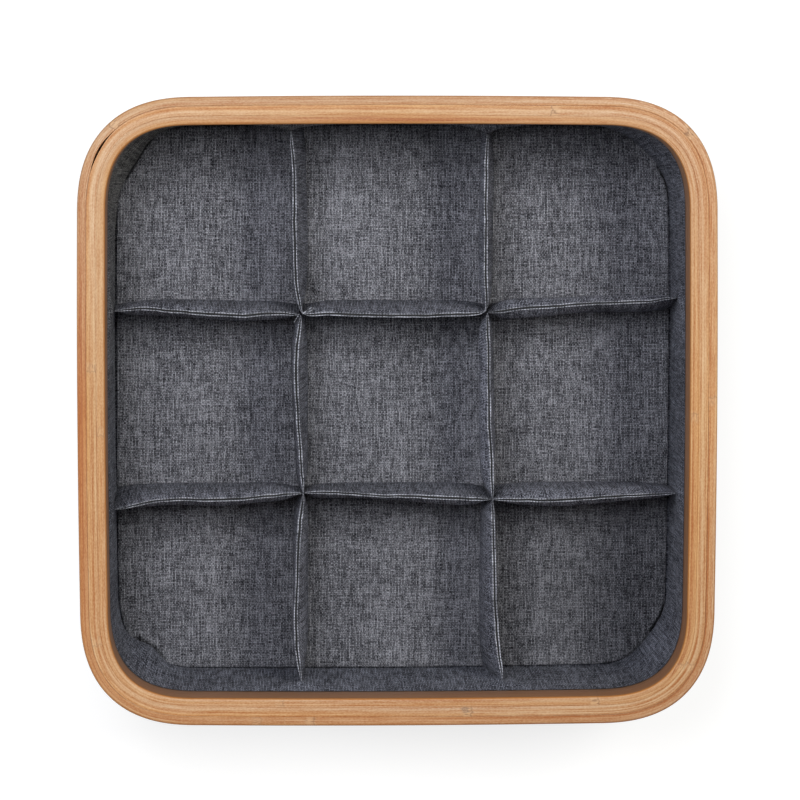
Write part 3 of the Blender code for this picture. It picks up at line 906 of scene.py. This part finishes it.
def lining_inset(distance, height):
    """How far in from the rim's outer face the lining stands."""
    inset = LINING_INNER
    below_top = np.clip(height_share(height), 0, 1)
    above = np.clip(height - DIVIDER_TOP, 0, None)
    fading = 1 - rise(height, DIVIDER_TOP, BODY_TOP - PULL_END)
    for side_share, way, line, sway_share, depth in PULL_SHARES:
        centre = side_share * EDGE_LENGTH + way * (line + TOP_SWAY * sway_share * below_top)
        widened = PULL_FOOT_WIDTH + (1 - PULL_FOOT_WIDTH) * below_top
        width = PULL_WIDTH * widened + above * PULL_SPREAD
        fold = np.exp(-np.abs(distance_from(distance, centre)) / width)
        deepened = PULL_FOOT_DEPTH + (1 - PULL_FOOT_DEPTH) * below_top ** 2
        inset = inset + depth * fold * deepened * fading
    swell_height = rise(height, FLOOR_TOP, FLOOR_TOP + BILLOW_RISE) * (1 - rise(height, *BILLOW_FALL))
    for share, depth, width in BILLOW_SHARES:
        offset = distance_from(distance, share * EDGE_LENGTH)
        inset = inset + depth * np.exp(-(offset / width) ** 2) * swell_height
    ripple = 0.0
    for grains_round, grains_up, seed, weight in RIPPLE_GRAINS:
        ripple = ripple + weight * soft_noise(distance * grains_round, height * grains_up, seed)
    ripple_room = rise(height, FLOOR_TOP, RIPPLE_START) * (1 - rise(height, *RIPPLE_STOP))
    return inset + (LINING_RIPPLE * ripple + LINING_SLACK) * ripple_room


# Where painted light bounced from the rim's brown shows on the lining, as a share of the way round, how
# far, and how much
RIM_BOUNCE_SHARE = 0.36
RIM_BOUNCE_REACH = 0.14
RIM_BOUNCE_STRENGTH = 0.8


def make_lining(material):
    """The lining: its turned-in foot under the floor panel, the foot's fold and the wall."""
    distance = places_round(LINING_STEP)
    foot = [LINING_FOOT, LINING_FOOT, PANEL_LOW]
    fold = [0.0075, 0.0078, 0.0082, 0.0088, 0.0096, 0.0106]
    heights = np.concatenate([foot, fold, np.linspace(0.012, BODY_TOP, 30)])[None, :]
    inset = lining_inset(distance, heights)
    inset[:, 0] = LINING_INNER + LINING_FLANGE
    inset[:, 1:3] = LINING_INNER
    x, y = edge_place(distance, inset)
    along = running_length(*edge_place(distance[:, 0], LINING_INNER))[:, None]
    # warm is painted light bounced from the rim, at the back left corner
    from_rim_bounce = distance_from(distance, RIM_BOUNCE_SHARE * EDGE_LENGTH)
    lining = dressed(
        "wall_lining", "lining_cloth", x, y, heights, material,
        weave=(along, heights * WALL_WEAVE_STRETCH, 0.0),
        edge=0.0,
        # Painted shade on the lining, darkest on the right and front right
        shade=value_round(distance, LINING_SHADES),
        warm=RIM_BOUNCE_STRENGTH * np.exp(-(from_rim_bounce / RIM_BOUNCE_REACH) ** 2),
    )


# How far in from its edge the floor cloth's painted shade reaches
EDGE_SHADE_REACH = 0.009
# Where a fold of the lining meets the floor cloth there is a painted shadow line: the middle
# of the line as a share of the way round, half its length as such a share, and how dark it is
CREASE_SHADOW_SHARES = (
    (0.3810, 0.021, 0.85),
    (0.0985, 0.011, 0.75),
    (0.6290, 0.014, 0.55),
    (0.8945, 0.012, 0.90),
    (0.8700, 0.013, 0.35),
)
CREASE_FADE_SHARE = 0.75
FOLD_HEIGHT = FLOOR_TOP + 0.0030
# Painted shade on the floor cloth: how much darker it gets towards the front, and a darker patch at the
# front right corner with its reach and depth
FRONT_SHADE_SLOPE = 0.75
SHADE_PATCH = (0.105, -0.105)
SHADE_PATCH_REACH = 0.040
SHADE_PATCH_DEPTH = 0.36
# The floor cloth's roll over its panel's edge, its ripples, and how far it sags
FLOOR_ROLL = 0.0011
FLOOR_RIPPLE = 0.00018
FLOOR_RIPPLE_GRAINS = (30, 75)
FLOOR_SAG = 0.00012


def painted_floor_shade(x, y):
    """Painted shade on the floor cloth: a little darker to the front, most in the front right corner."""
    away = (x - SHADE_PATCH[0]) ** 2 + (y - SHADE_PATCH[1]) ** 2
    patch = np.exp(-away / (2 * SHADE_PATCH_REACH ** 2))
    return (1 + y * FRONT_SHADE_SLOPE) * (1 - SHADE_PATCH_DEPTH * patch)


def crease_depth(distance):
    """How dark the painted shadow line beside the lining's folds is, at distances round the edge."""
    depth = 0.0
    for share, half_share, darkness in CREASE_SHADOW_SHARES:
        away = np.abs(distance_from(distance, share * EDGE_LENGTH)) / EDGE_LENGTH
        fading = rise(away, half_share * CREASE_FADE_SHARE, half_share)
        depth = np.maximum(depth, darkness * (1 - fading))
    return depth


def make_floor(material):
    """The floor panel's cloth, rolled over the panel's edge all round."""
    distance = places_round(FLOOR_STEP)
    edge_inset = PANEL_OUTER + value_round(distance, FLOOR_EDGE_ROOM)
    angles = np.linspace(0, math.pi / 2, 5)
    roll_inset = np.concatenate([[0], FLOOR_ROLL * (1 - np.cos(angles))])[None, :]
    roll_height = FLOOR_TOP - FLOOR_ROLL + FLOOR_ROLL * np.sin(angles)
    edge_x, edge_y = edge_place(distance, edge_inset + roll_inset)
    rim_x, rim_y = edge_place(distance, edge_inset + FLOOR_ROLL)
    inward = np.concatenate([np.linspace(0.994, 0.90, 12), np.linspace(0.88, 0.0, 34)])
    x = np.concatenate([edge_x, rim_x * inward], axis=1)
    y = np.concatenate([edge_y, rim_y * inward], axis=1)
    flat = np.concatenate([[PANEL_LOW], roll_height, np.full(len(inward), FLOOR_TOP)])
    coarse, fine = FLOOR_RIPPLE_GRAINS
    ripple = soft_noise(x * coarse, y * coarse) + 0.5 * soft_noise(x * fine, y * fine, 5.0)
    off_edge = np.concatenate([np.zeros(roll_inset.size), rise(1 - inward, 0, 0.03)])
    outer_x, outer_y = edge_place(distance, 0.0)
    inner_x, inner_y = edge_place(distance, 1.0)
    inset = (x - outer_x) * (inner_x - outer_x) + (y - outer_y) * (inner_y - outer_y)
    # Painted shade along the floor cloth's edge, beside the walls
    edge_shade = value_round(distance, EDGE_SHADES) * np.exp((PANEL_OUTER - inset) / EDGE_SHADE_REACH)
    floor = dressed(
        "floor_cloth", "lining_cloth", x, y, flat + (FLOOR_RIPPLE * ripple - FLOOR_SAG) * off_edge,
        material,
        weave=(x, y, 0.0),
        edge=0.0,
        shade=painted_floor_shade(x, y) * (1 - edge_shade),
        from_fold=inset - lining_inset(distance, np.array([[FOLD_HEIGHT]])),
        crease=crease_depth(distance),
    )


# Dividers: the fold at the top, the lips turned in beside the card, and the soft edges
TOP_HALF = 0.00080
FOLD_RADIUS = 0.00030
FOLD_STEPS = 6
LIP_HALF = 0.00036
LIP_DEPTH = 0.0080
SKIN_DROPS = (0.0006, 0.0011, 0.0020, 0.0035, 0.0060, 0.010, 0.015, 0.021, 0.027, 0.033, 0.039, 0.045)
SKIN_CURVE = 0.75
# How far down the skin the painted fold highlight fades
FOLD_HIGHLIGHT_FADE = 0.0012
WIGGLE = 0.00040
SIDE_WIGGLE = 0.00014
PUCKER = 0.00040
SLACK = 0.0014
SAG = 0.010
WIDTH_CHANGE = 0.25
# Grains per metre of the noise that moves the sleeves' edges and skins
WIDTH_GRAIN = 28
WIGGLE_GRAINS = (60, 150, 300)
PUCKER_GRAIN = 45
PUCKER_RISE_GRAIN = 55
BULGE_GRAIN = 22
SAG_GRAIN = 38
# Painted shade: how dark a sleeve is at its foot, and at what share of its height that has gone
FOOT_SHADE = 0.80
FOOT_SHADE_TOP = 0.8
# Painted shade near a sleeve's ends, at crossings and at the lining, and how far it reaches
CORNER_SHADE = 0.62
CORNER_WIDTH = 0.0040
# The room that a sleeve's end leaves to the lining, and to the other sleeves at a crossing
WALL_ROOM = 0.0002
CROSSING_ROOM = 0.0001
# How long a stretch of a sleeve's top is drawn together at its end, and by what share
WALL_PINCH = (0.0050, 0.60)
CROSSING_PINCH = (0.0032, 0.82)
FOOT_PINCH = (0.0090, 0.62)

# How far a sleeve's skin swells out below its fold, by run, cell and side. Shares of the
# sleeve's height say where it is widest, how far it reaches, and where below the top it starts
SWELLS = {
    ("right", 0, -1): 0.0020, ("right", 1, -1): 0.0030, ("right", 2, -1): 0.0010,
    ("left", 0, 1): 0.0010,
    ("back", 0, -1): 0.0016, ("back", 0, 1): 0.0012, ("back", 1, 1): 0.0008,
    ("back", 2, -1): 0.0030, ("back", 2, 1): 0.0022,
    ("front", 0, -1): 0.0028, ("front", 0, 1): 0.0014, ("front", 1, -1): 0.0022,
    ("front", 2, -1): 0.0022, ("front", 2, 1): 0.0022,
}
SWELL_HEIGHT = 0.72
SWELL_REACH = 0.30
SWELL_BELOW_TOP = 0.16

# Painted shade and light: the sleeves made darker or lighter than the others, by run and cell
SLEEVE_SHADES = {
    ("front", 1): 0.88,
    ("front", 2): 1.08,
    ("right", 0): 0.86,
    ("right", 2): 0.90,
}

# How far a sleeve's end hooks sideways at a crossing, by run, cell and end
HOOKS = {
    ("back", 1, 0): 0.0016,
    ("left", 2, 0): 0.0013,
    ("back", 1, 1): 0.0014,
    ("right", 2, 0): -0.0013,
}
HOOK_REACH = 0.0024

# A divider: its name, its line and sway shares, whether it runs across the tray, its place
# in the noise, half the tray's length along it, the shares of the way round at which the
# middles of its end walls lie, and line and sway share of the two dividers that it crosses
Run = namedtuple("Run", "name line shares is_across seed half_length side_shares crossings")


def sleeve_section():
    """Half the sleeve's section: lateral place, height and how much painted highlight it takes on the
    fold's edge.
    """
    section = [
        (LIP_HALF, DIVIDER_TOP - LIP_DEPTH, 0.0),
        (LIP_HALF, DIVIDER_TOP - 0.002, 0.0),
        (0.00028, DIVIDER_TOP - 0.0006, 0.1),
    ]
    for step in range(FOLD_STEPS + 1):
        angle = math.pi * (1 - step / FOLD_STEPS)
        lateral = TOP_HALF - FOLD_RADIUS + FOLD_RADIUS * math.cos(angle)
        height = DIVIDER_TOP - FOLD_RADIUS * (1 - math.sin(angle))
        section.append((lateral, height, math.sin(angle) ** 0.5))
    for drop in SKIN_DROPS:
        share = (drop / (DIVIDER_TOP - DIVIDER_BASE)) ** SKIN_CURVE
        lateral = TOP_HALF + (SLEEVE_FOOT_HALF - TOP_HALF) * share
        section.append((lateral, DIVIDER_TOP - drop, max(0.0, 0.5 - drop / FOLD_HIGHLIGHT_FADE)))
    section.append((SLEEVE_FOOT_HALF, DIVIDER_BASE + 0.0008, 0.0))
    section.append((SLEEVE_FOOT_HALF - 0.0006, DIVIDER_BASE, 0.0))
    return section


def run_stop(run, stop, height):
    """Where a cell of the divider ends along its run.

    Its stop is -2 or 2 at the lining and -1 or 1 at a crossing.
    """
    share = max(height_share(height), 0.0)
    end = 0 if stop < 0 else -1
    if abs(stop) == 2:
        offset = run.line + TOP_SWAY * run.shares[end] * share
        way = 1 if run.side_shares[end] in (0.0, 0.75) else -1
        distance = run.side_shares[end] * EDGE_LENGTH + way * offset
        inset = float(lining_inset(np.array(distance), np.array(height)))
        return math.copysign(run.half_length - inset, stop)
    line, sway_share = run.crossings[end]
    return line + TOP_SWAY * sway_share * share


def sleeve_point(run, cell, along_share, lateral, height, is_slack):
    """A point of a sleeve with its soft edges, how far along it lies, and how near an end."""
    stops = ((-2, -1), (-1, 1), (1, 2))[cell]
    low, high = (run_stop(run, stop, height) for stop in stops)
    up = height_share(height)
    below_top = max(up, 0)
    side = 1 if lateral > 0 else -1
    seed = run.seed + 7.3 * cell
    along = low + (high - low) * along_share
    pinches = [WALL_PINCH if abs(stop) == 2 else CROSSING_PINCH for stop in stops]
    closeness = [
        math.exp(-reach / width)
        for reach, (width, _) in zip((along - low, high - along), pinches)
    ]
    drawn = max(near * share for near, (_, share) in zip(closeness, pinches))
    free = 1 - max(closeness)
    foot_width, foot_share = FOOT_PINCH
    foot_drawn = foot_share * math.exp(-min(along - low, high - along) / foot_width)
    opened = 1 + WIDTH_CHANGE * noise_at(along * WIDTH_GRAIN, seed + 20, 0) * up
    slimmed = lateral * (1 - up * drawn) * (1 - (1 - up) * foot_drawn) * opened
    start, end = (
        WALL_ROOM if abs(stop) == 2 else CROSSING_ROOM + abs(slimmed)
        for stop in stops
    )
    start, end = low + start, high - end
    along = start + (end - start) * along_share
    from_low, to_high = along - low, high - along
    reading = READINGS_PER_CELL * (cell + from_low / (high - low))
    sway = TOP_SWAY * smooth_between(run.shares, reading) * up
    edge_weight = below_top ** 3
    coarse, fine, finest = WIGGLE_GRAINS
    shared = noise_at(along * coarse, seed, 0) + 0.5 * noise_at(along * fine, seed, 4)
    own = noise_at(along * finest, seed, 9 * side)
    wiggle = (WIGGLE * shared + SIDE_WIGGLE * side * own) * edge_weight * free
    middle = max(0.0, math.sin(math.pi * min(below_top, 1)))
    pucker = PUCKER * middle * noise_at(along * PUCKER_GRAIN, height * PUCKER_RISE_GRAIN, seed + 3) * free
    low_down = below_top * 4
    swell = SWELLS.get((run.name, cell, side), 0.0)
    swell *= float(rise(1 - up, 0, SWELL_BELOW_TOP)) * math.exp(-((up - SWELL_HEIGHT) / SWELL_REACH) ** 2)
    bulge = (SLACK * low_down * math.exp(1 - low_down) + swell) * free ** 2 if is_slack else 0.0
    bulge *= side * (0.8 + 0.8 * noise_at(along * BULGE_GRAIN, seed, 30 + 5 * side))
    hook = sum(
        HOOKS.get((run.name, cell, which), 0) * math.exp(-(reach / HOOK_REACH) ** 2)
        for which, reach in enumerate((from_low, to_high))
    )
    across = run.line + slimmed + sway + wiggle + pucker + bulge + hook * edge_weight
    sag = 1 + SAG * noise_at(along * SAG_GRAIN, seed, 12) * free
    lifted = DIVIDER_BASE + (height - DIVIDER_BASE) * sag
    place = (along, across, lifted) if run.is_across else (across, along, lifted)
    return (*place, along, math.exp(-min(from_low, to_high) / CORNER_WIDTH))


def sleeve_grids(run, cell, shares, section, is_slack=True):
    """Grids of what sleeve_point gives, for shares along the sleeve and its section."""
    rows = [
        [sleeve_point(run, cell, share, lateral, height, is_slack) for lateral, height in section]
        for share in shares
    ]
    return np.moveaxis(np.array(rows), -1, 0)


# A narrow fold and a thread that stick out where the sleeves are sewn together behind the
# left crossing, as points that each of them passes through
LOOSE_END_SLEEVE = "back_divider_middle_sleeve"
LOOSE_END_STEPS = 8
LOOSE_END_WEAVE = 0.006
LOOSE_ENDS = (
    ("loose_fold", 0.00034, (
        (-0.0475, 0.0474, 0.0600),
        (-0.0449, 0.0493, 0.0602),
        (-0.0428, 0.0506, 0.0599),
        (-0.0419, 0.0500, 0.0597),
        (-0.0432, 0.0490, 0.0599),
        (-0.0463, 0.0474, 0.0599),
    )),
    ("loose_thread", 0.00022, (
        (-0.0499, 0.0463, 0.0600),
        (-0.0508, 0.0448, 0.0601),
        (-0.0514, 0.0440, 0.0600),
        (-0.0519, 0.0429, 0.0597),
    )),
)


def loose_ends(material):
    """The fold and the thread at the left crossing, as thin tubes."""
    made = []
    for name, radius, stops in LOOSE_ENDS:
        steps = LOOSE_END_STEPS * (len(stops) - 1)
        path = np.array([
            [smooth_between(values, step / LOOSE_END_STEPS) for values in zip(*stops)]
            for step in range(steps + 1)
        ])
        ahead = np.gradient(path, axis=0)
        ahead /= np.linalg.norm(ahead, axis=1)[:, None]
        aside = np.cross(ahead, (0.0, 0.0, 1.0))
        aside /= np.linalg.norm(aside, axis=1)[:, None]
        above = np.cross(aside, ahead)
        turns = np.linspace(0, 2 * math.pi, 8, endpoint=False)[None, :, None]
        ring = path[:, None] + radius * (np.cos(turns) * aside[:, None] + np.sin(turns) * above[:, None])
        travel = np.linspace(0, LOOSE_END_WEAVE, steps + 1)[:, None]
        # The whole fold and thread take the sleeves' painted fold highlight
        piece = grid_object(
            name, *np.moveaxis(ring, -1, 0), material, is_tube=True,
            weave=(travel, 0.0, 0.0), edge=1.0, shade=1.0,
        )
        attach(piece, BODY)
        made.append(piece)
    return made


def make_sleeve(run, cell, name, material):
    """One sleeve: two skins joined at the foot, each folded over at the top into a lip."""
    half = sleeve_section()
    section = half + [(-lateral, height, edge) for lateral, height, edge in reversed(half)]
    laterals, heights, edges = np.array(section).T
    even = np.linspace(0, 1, SLEEVE_STEPS + 1)
    shares = END_CROWDING * (0.5 - 0.5 * np.cos(even * math.pi)) + (1 - END_CROWDING) * even
    x, y, z, along, nearness = sleeve_grids(run, cell, shares, list(zip(laterals, heights)))
    # Painted shade: darker towards the foot and near the ends, some sleeves darker or lighter
    painted_light = FOOT_SHADE + (1 - FOOT_SHADE) * rise(height_share(z), 0, FOOT_SHADE_TOP)
    painted_light = painted_light * SLEEVE_SHADES.get((run.name, cell), 1.0)
    sleeve = dressed(
        name, "lining_cloth", x, y, z, material,
        weave=(along + run.seed, running_length(laterals, heights) * WALL_WEAVE_STRETCH, 0.0),
        edge=edges,
        shade=painted_light * (1 - (1 - CORNER_SHADE) * nearness),
    )
    loose = loose_ends(material) if name == LOOSE_END_SLEEVE else []


# The card in each sleeve: its half thickness, its foot and top, and its ends as shares
CARD_HALF = 0.00030
CARD_LOW = DIVIDER_BASE + 0.0012
CARD_HIGH = DIVIDER_TOP - 0.0012
CARD_ENDS = (0.05, 0.95)


def make_card(run, cell, name, material):
    """The stiff card in a sleeve, which follows its bend and ends short of its seams."""
    heights = np.linspace(CARD_LOW, CARD_HIGH, 9)
    section = [(CARD_HALF, height) for height in heights]
    section += [(-CARD_HALF, height) for height in heights[::-1]]
    x, y, z, _, _ = sleeve_grids(run, cell, np.linspace(*CARD_ENDS, 33), section, is_slack=False)
    dressed(name, "divider_card", x, y, z, material, is_tube=True)


def make_dividers(cloth, board):
    """The sleeves and cards of the two dividers across and the two along."""
    across = (("front", -ROW_LINE, FRONT_SWAY_SHARES), ("back", ROW_LINE, BACK_SWAY_SHARES))
    lengthways = (("left", -COLUMN_LINE, LEFT_SWAY_SHARES), ("right", COLUMN_LINE, RIGHT_SWAY_SHARES))
    for group, others, is_across in ((across, lengthways, True), (lengthways, across, False)):
        cell_names = ("left", "middle", "right") if is_across else ("front", "middle", "back")
        for position, (name, line, shares) in enumerate(group):
            crossing_index = READINGS_PER_CELL * (1 + position)
            run = Run(
                name, line, shares, is_across,
                seed=1.7 * position + (5.1 if is_across else 11.9),
                half_length=WIDTH / 2 if is_across else DEPTH / 2,
                side_shares=(0.50, 0.0) if is_across else (0.75, 0.25),
                crossings=[(other_line, sways[crossing_index]) for _, other_line, sways in others],
            )
            for cell, cell_name in enumerate(cell_names):
                stem = name + "_divider_" + cell_name
                make_sleeve(run, cell, stem + "_sleeve", cloth)
                make_card(run, cell, stem + "_card", board)


# The outer cloth's lapped seam: its place as a share of the way round, the lap's width and
# how far it stands out
SEAM_SHARE = 0.318
SEAM_LAP = 0.0065
SEAM_STEP = 0.00045
# Over what lengths round the tray the lap starts and ends
SEAM_START = 0.0012
SEAM_END = 0.0003
# Below the rim the lap thins out between these heights, so the rim clears it
SEAM_TOP = (0.0640, 0.0695)
# Ripples of the outer cloth, and the groove in which the hem's stitches lie
OUTSIDE_RIPPLE = 0.00022
OUTSIDE_RIPPLE_GRAINS = (30, 24)
OUTSIDE_LOOSE = (0.058, 0.070)
HEM_GROOVE = 0.00018
HEM_GROOVE_WIDTH = 0.0012
# The turn over the foot, and the bottom cloth's edge and height above the ground
FOOT_TURN = 0.0022
BOTTOM_INSET = BODY_OUTER + 0.0018
BOTTOM_EDGE_TOP = 0.0005
BOTTOM_HEIGHT = 0.0001
# Stitches: their length and pitch, the thread's radius, and how far they lie from an edge
STITCH_LENGTH = 0.0024
STITCH_PITCH = 0.0033
THREAD_RADIUS = 0.00028
STITCH_MARGIN = 0.0014
HEM_STITCH_HEIGHT = 0.0064
# A stitch's rings: share of the way along it, and size
STITCH_RINGS = ((0.0, 0.25), (0.12, 0.85), (0.5, 1.0), (0.88, 0.85), (1.0, 0.25))
STITCH_LIFT = 0.35
STITCH_FLATNESS = 0.7


def outside_inset(distance, height):
    """How far in from the rim's outer face the outer cloth stands, above its turned foot."""
    grains_round, grains_up = OUTSIDE_RIPPLE_GRAINS
    ripple = soft_noise(distance * grains_round, height * grains_up, 21.0)
    loose = rise(height, HEM_STITCH_HEIGHT, 0.02) * (1 - rise(height, *OUTSIDE_LOOSE))
    past_seam = distance_from(distance, SEAM_SHARE * EDGE_LENGTH)
    lap = rise(past_seam, -SEAM_LAP - SEAM_START, -SEAM_LAP)
    lap = lap * (1 - rise(past_seam, -SEAM_END, SEAM_END)) * (1 - rise(height, *SEAM_TOP))
    pressed = HEM_GROOVE * np.exp(-((height - HEM_STITCH_HEIGHT) / HEM_GROOVE_WIDTH) ** 2)
    return BODY_OUTER + OUTSIDE_RIPPLE * (ripple - 1) * loose - SEAM_STEP * lap + pressed


def unit(vector):
    """The vector at length one."""
    return vector / np.linalg.norm(vector)


def make_stitches(material):
    """The stitches of the outer cloth's hem, all round, and of its lapped seam."""
    upright = np.array([0.0, 0.0, 1.0])
    stitches = []
    count = int(EDGE_LENGTH / STITCH_PITCH)
    for distance in np.linspace(0, EDGE_LENGTH, count, endpoint=False):
        here, there = (
            np.array([*edge_place(place, outside_inset(place, HEM_STITCH_HEIGHT)), HEM_STITCH_HEIGHT])
            for place in (distance, distance + 0.0005)
        )
        ahead = unit(there - here)
        stitches.append((here, ahead, np.cross(ahead, upright)))
    heights = np.arange(HEM_STITCH_HEIGHT + STITCH_PITCH, SEAM_TOP[1] - STITCH_PITCH, STITCH_PITCH)
    for margin in (STITCH_MARGIN, SEAM_LAP - STITCH_MARGIN):
        place = SEAM_SHARE * EDGE_LENGTH - margin
        for height in heights:
            here = np.array([*edge_place(place, outside_inset(place, height)), height])
            inside = np.array([*edge_place(place, BODY_OUTER + 0.01), height])
            stitches.append((here, upright, unit(here - inside)))

    turns = np.linspace(0, 2 * math.pi, 6, endpoint=False)[:, None]
    shares, sizes = np.array(STITCH_RINGS).T[:, :, None, None]
    corners = len(turns)
    points, faces = [], []
    for start, ahead, outward in stitches:
        first = len(points)
        around = np.cos(turns) * np.cross(ahead, outward) + STITCH_FLATNESS * np.sin(turns) * outward
        offsets = THREAD_RADIUS * sizes * (around + STITCH_LIFT * outward)
        points += (start + ahead * STITCH_LENGTH * shares + offsets).reshape(-1, 3).tolist()
        last = len(points) - corners
        for ring in range(first, last, corners):
            for corner in range(corners):
                one = ring + corner
                other = ring + (corner + 1) % corners
                faces.append((one, other, other + corners, one + corners))
        faces.append(tuple(range(first + corners - 1, first - 1, -1)))
        faces.append(tuple(range(last, last + corners)))
    made = mesh_object("outer_cloth_stitches", points, faces, material)
    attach(made, BODY)
    return made


def make_outside(material, thread):
    """The cloth outside the walls, turned under at the foot, and the bottom cloth."""
    seam = SEAM_SHARE * EDGE_LENGTH
    beside_seam = np.linspace(seam - SEAM_LAP - 0.003, seam + 0.002, 36)
    even = places_round(OUTSIDE_STEP)[:, 0]
    clear = np.abs(even - (seam - SEAM_LAP / 2)) > SEAM_LAP
    distance = np.sort(np.concatenate([even[clear], beside_seam]))[:, None]
    angles = np.linspace(0, math.pi / 2, 5)
    wall_heights = np.concatenate([
        np.linspace(BODY_TOP, 0.012, 15),
        np.linspace(0.0095, HEM_LOW + FOOT_TURN + 0.0005, 9),
    ])
    foot_heights = HEM_LOW + FOOT_TURN * (1 - np.sin(angles))
    heights = np.concatenate([wall_heights, foot_heights, [HEM_LOW]])[None, :]
    turned = np.concatenate([
        np.zeros(len(wall_heights)),
        FOOT_TURN * (1 - np.cos(angles)),
        [HEM_WIDTH],
    ])
    x, y = edge_place(distance, turned + outside_inset(distance, heights))
    along = running_length(*edge_place(distance[:, 0], BODY_OUTER))[:, None]
    outside = dressed(
        "outer_wall_cloth", "outer_cloth", x, y, heights, material,
        weave=(along, heights, 0.0), edge=0.0, shade=1.0,
    )
    make_stitches(thread)

    inward = np.concatenate([[1.0, 0.995, 0.97], np.linspace(0.92, 0, 20)])
    x, y = (rim * inward for rim in edge_place(distance, BOTTOM_INSET))
    bottom = dressed(
        "bottom_cloth", "outer_cloth", x, y, np.where(inward == 1.0, BOTTOM_EDGE_TOP, BOTTOM_HEIGHT),
        material, weave=(x, y, 0.0), edge=0.0, shade=1.0,
    )


def dress_boards(fibreboard):
    """Gives the CAD boards, which stay, a board material."""
    for name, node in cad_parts.items():
        if "board" in name:
            for slot in node.material_slots:
                slot.material = fibreboard


# Camera and light
CAMERA_PLACE = Vector((-0.0477, 0.1541, 1.8307))
CAMERA_AIM = Vector((0.0009, 0.0066, 0.100))
CAMERA_LENS = 156.66
SENSOR = 36.0
# Each lamp's place, size, power and colour
LAMPS = (
    ("left_lamp", Vector((-0.32, 0.47, 1.60)), (0.56, 0.66), 13.7, (0.975, 0.990, 1.030)),
    ("right_lamp", Vector((0.82, 0.47, 1.60)), (0.45, 0.66), 13.7, (1.030, 1.005, 0.920)),
    ("low_lamp", Vector((-1.10, 0.12, 0.60)), (0.30, 0.30), 2.7, (0.980, 0.995, 1.020)),
)
LAMP_AIM = Vector((0.0, 0.0, 0.05))
SKY_STRENGTH = 0.17
WHITE = (1, 1, 1, 1)
# The studio floor: its grey, its glow from under the tray outward, its reach and height
FLOOR_COLOR = 0.35
FLOOR_GLOW = 0.78
FLOOR_GLOW_REACH = (0.45, 1.20)
STUDIO_REACH = np.array([-3.0, 3.0])
STUDIO_FLOOR_HEIGHT = -0.0003


def aim_object(thing, place, aim):
    """Puts a camera or lamp at a place so that it looks at an aim, with +Y up in its view."""
    forward = (aim - place).normalized()
    right = forward.cross(Vector((0, 1, 0))).normalized()
    upright = right.cross(forward)
    turn = Matrix((right, upright, -forward)).transposed().to_4x4()
    thing.matrix_world = Matrix.Translation(place) @ turn


def make_camera():
    data = bpy.data.cameras.new("camera")
    data.sensor_width = SENSOR
    data.lens = CAMERA_LENS
    camera = scene_object("camera", data)
    aim_object(camera, CAMERA_PLACE, CAMERA_AIM)
    bpy.context.scene.camera = camera


def make_studio():
    """Two soft lamps above the tray, a low one on its left, a pale sky and a white floor."""
    for name, place, size, power, color in LAMPS:
        data = bpy.data.lights.new(name, "AREA")
        data.shape = "RECTANGLE"
        data.size, data.size_y = size
        data.energy = power
        data.color = color
        aim_object(scene_object(name, data), place, LAMP_AIM)

    world = bpy.data.worlds.new("studio")
    world.use_nodes = True
    bpy.context.scene.world = world
    sky = Nodes(world.node_tree)
    background = sky.tree.nodes["Background"]
    background.inputs["Color"].default_value = WHITE
    strength = sky.reach(sky.seen_directly(), 0.0, 1.0, SKY_STRENGTH, 1.0)
    sky.feed(background.inputs["Strength"], strength)

    finish = Finish(
        "studio_floor", Roughness=0.9, Base_Color=(FLOOR_COLOR, FLOOR_COLOR, FLOOR_COLOR, 1),
        Specular_IOR_Level=0.0, Emission_Color=WHITE,
    )
    place = finish.place()
    away = finish.hypotenuse(finish.part(place, 0), finish.part(place, 1))
    glow = finish.reach(away, *FLOOR_GLOW_REACH, FLOOR_GLOW, 1.0)
    finish.set_shader(Emission_Strength=finish.seen_directly() * glow)
    floor = grid_object(
        "studio_floor", STUDIO_REACH[:, None], STUDIO_REACH[None, :], STUDIO_FLOOR_HEIGHT,
        finish.material,
    )


def main():
    # One cloth, multiplied by colours that paint light and shade: a lighter, bluer copy for the sleeves,
    # a darker, bluer one for the lining
    floor_cloth = cloth_finish("floor_linen", (1.0, 1.002, 0.995), 0.81, 0.05, creased=True)
    lining_cloth = cloth_finish("lining_linen", (0.92, 0.955, 1.03), 0.88, 0.02)
    sleeve_cloth = cloth_finish("sleeve_linen", (1.06, 1.09, 1.16), 1.00, 0.02)
    outer_cloth = cloth_finish("outer_linen", (1.0, 1.0, 1.0), 1.0, 0.10)
    bamboo = bamboo_finish("bamboo_fibres")
    board_look = (900.0, 1300.0, 900.0), 3.0, 0.0001
    fibreboard = speckled_finish("raw_fibreboard", BOARD_STOPS, *board_look, Roughness=0.9)
    # The card is near black so that the slits above it show as shade: painted shade
    card = speckled_finish("slit_shade_card", SLIT_SHADE_CARD_STOPS, *board_look, Roughness=0.9)
    thread = speckled_finish(
        "grey_thread", THREAD_STOPS, (2600.0, 2600.0, 2600.0), 1.0, 0.00005,
        Roughness=0.6, Sheen_Weight=0.2, Sheen_Roughness=0.4,
    )
    make_rim(bamboo)
    make_lining(lining_cloth)
    make_floor(floor_cloth)
    make_dividers(sleeve_cloth, card)
    make_outside(outer_cloth, thread)
    dress_boards(fibreboard)
    make_camera()
    make_studio()
    bpy.context.scene.view_settings.view_transform = "Standard"


main()
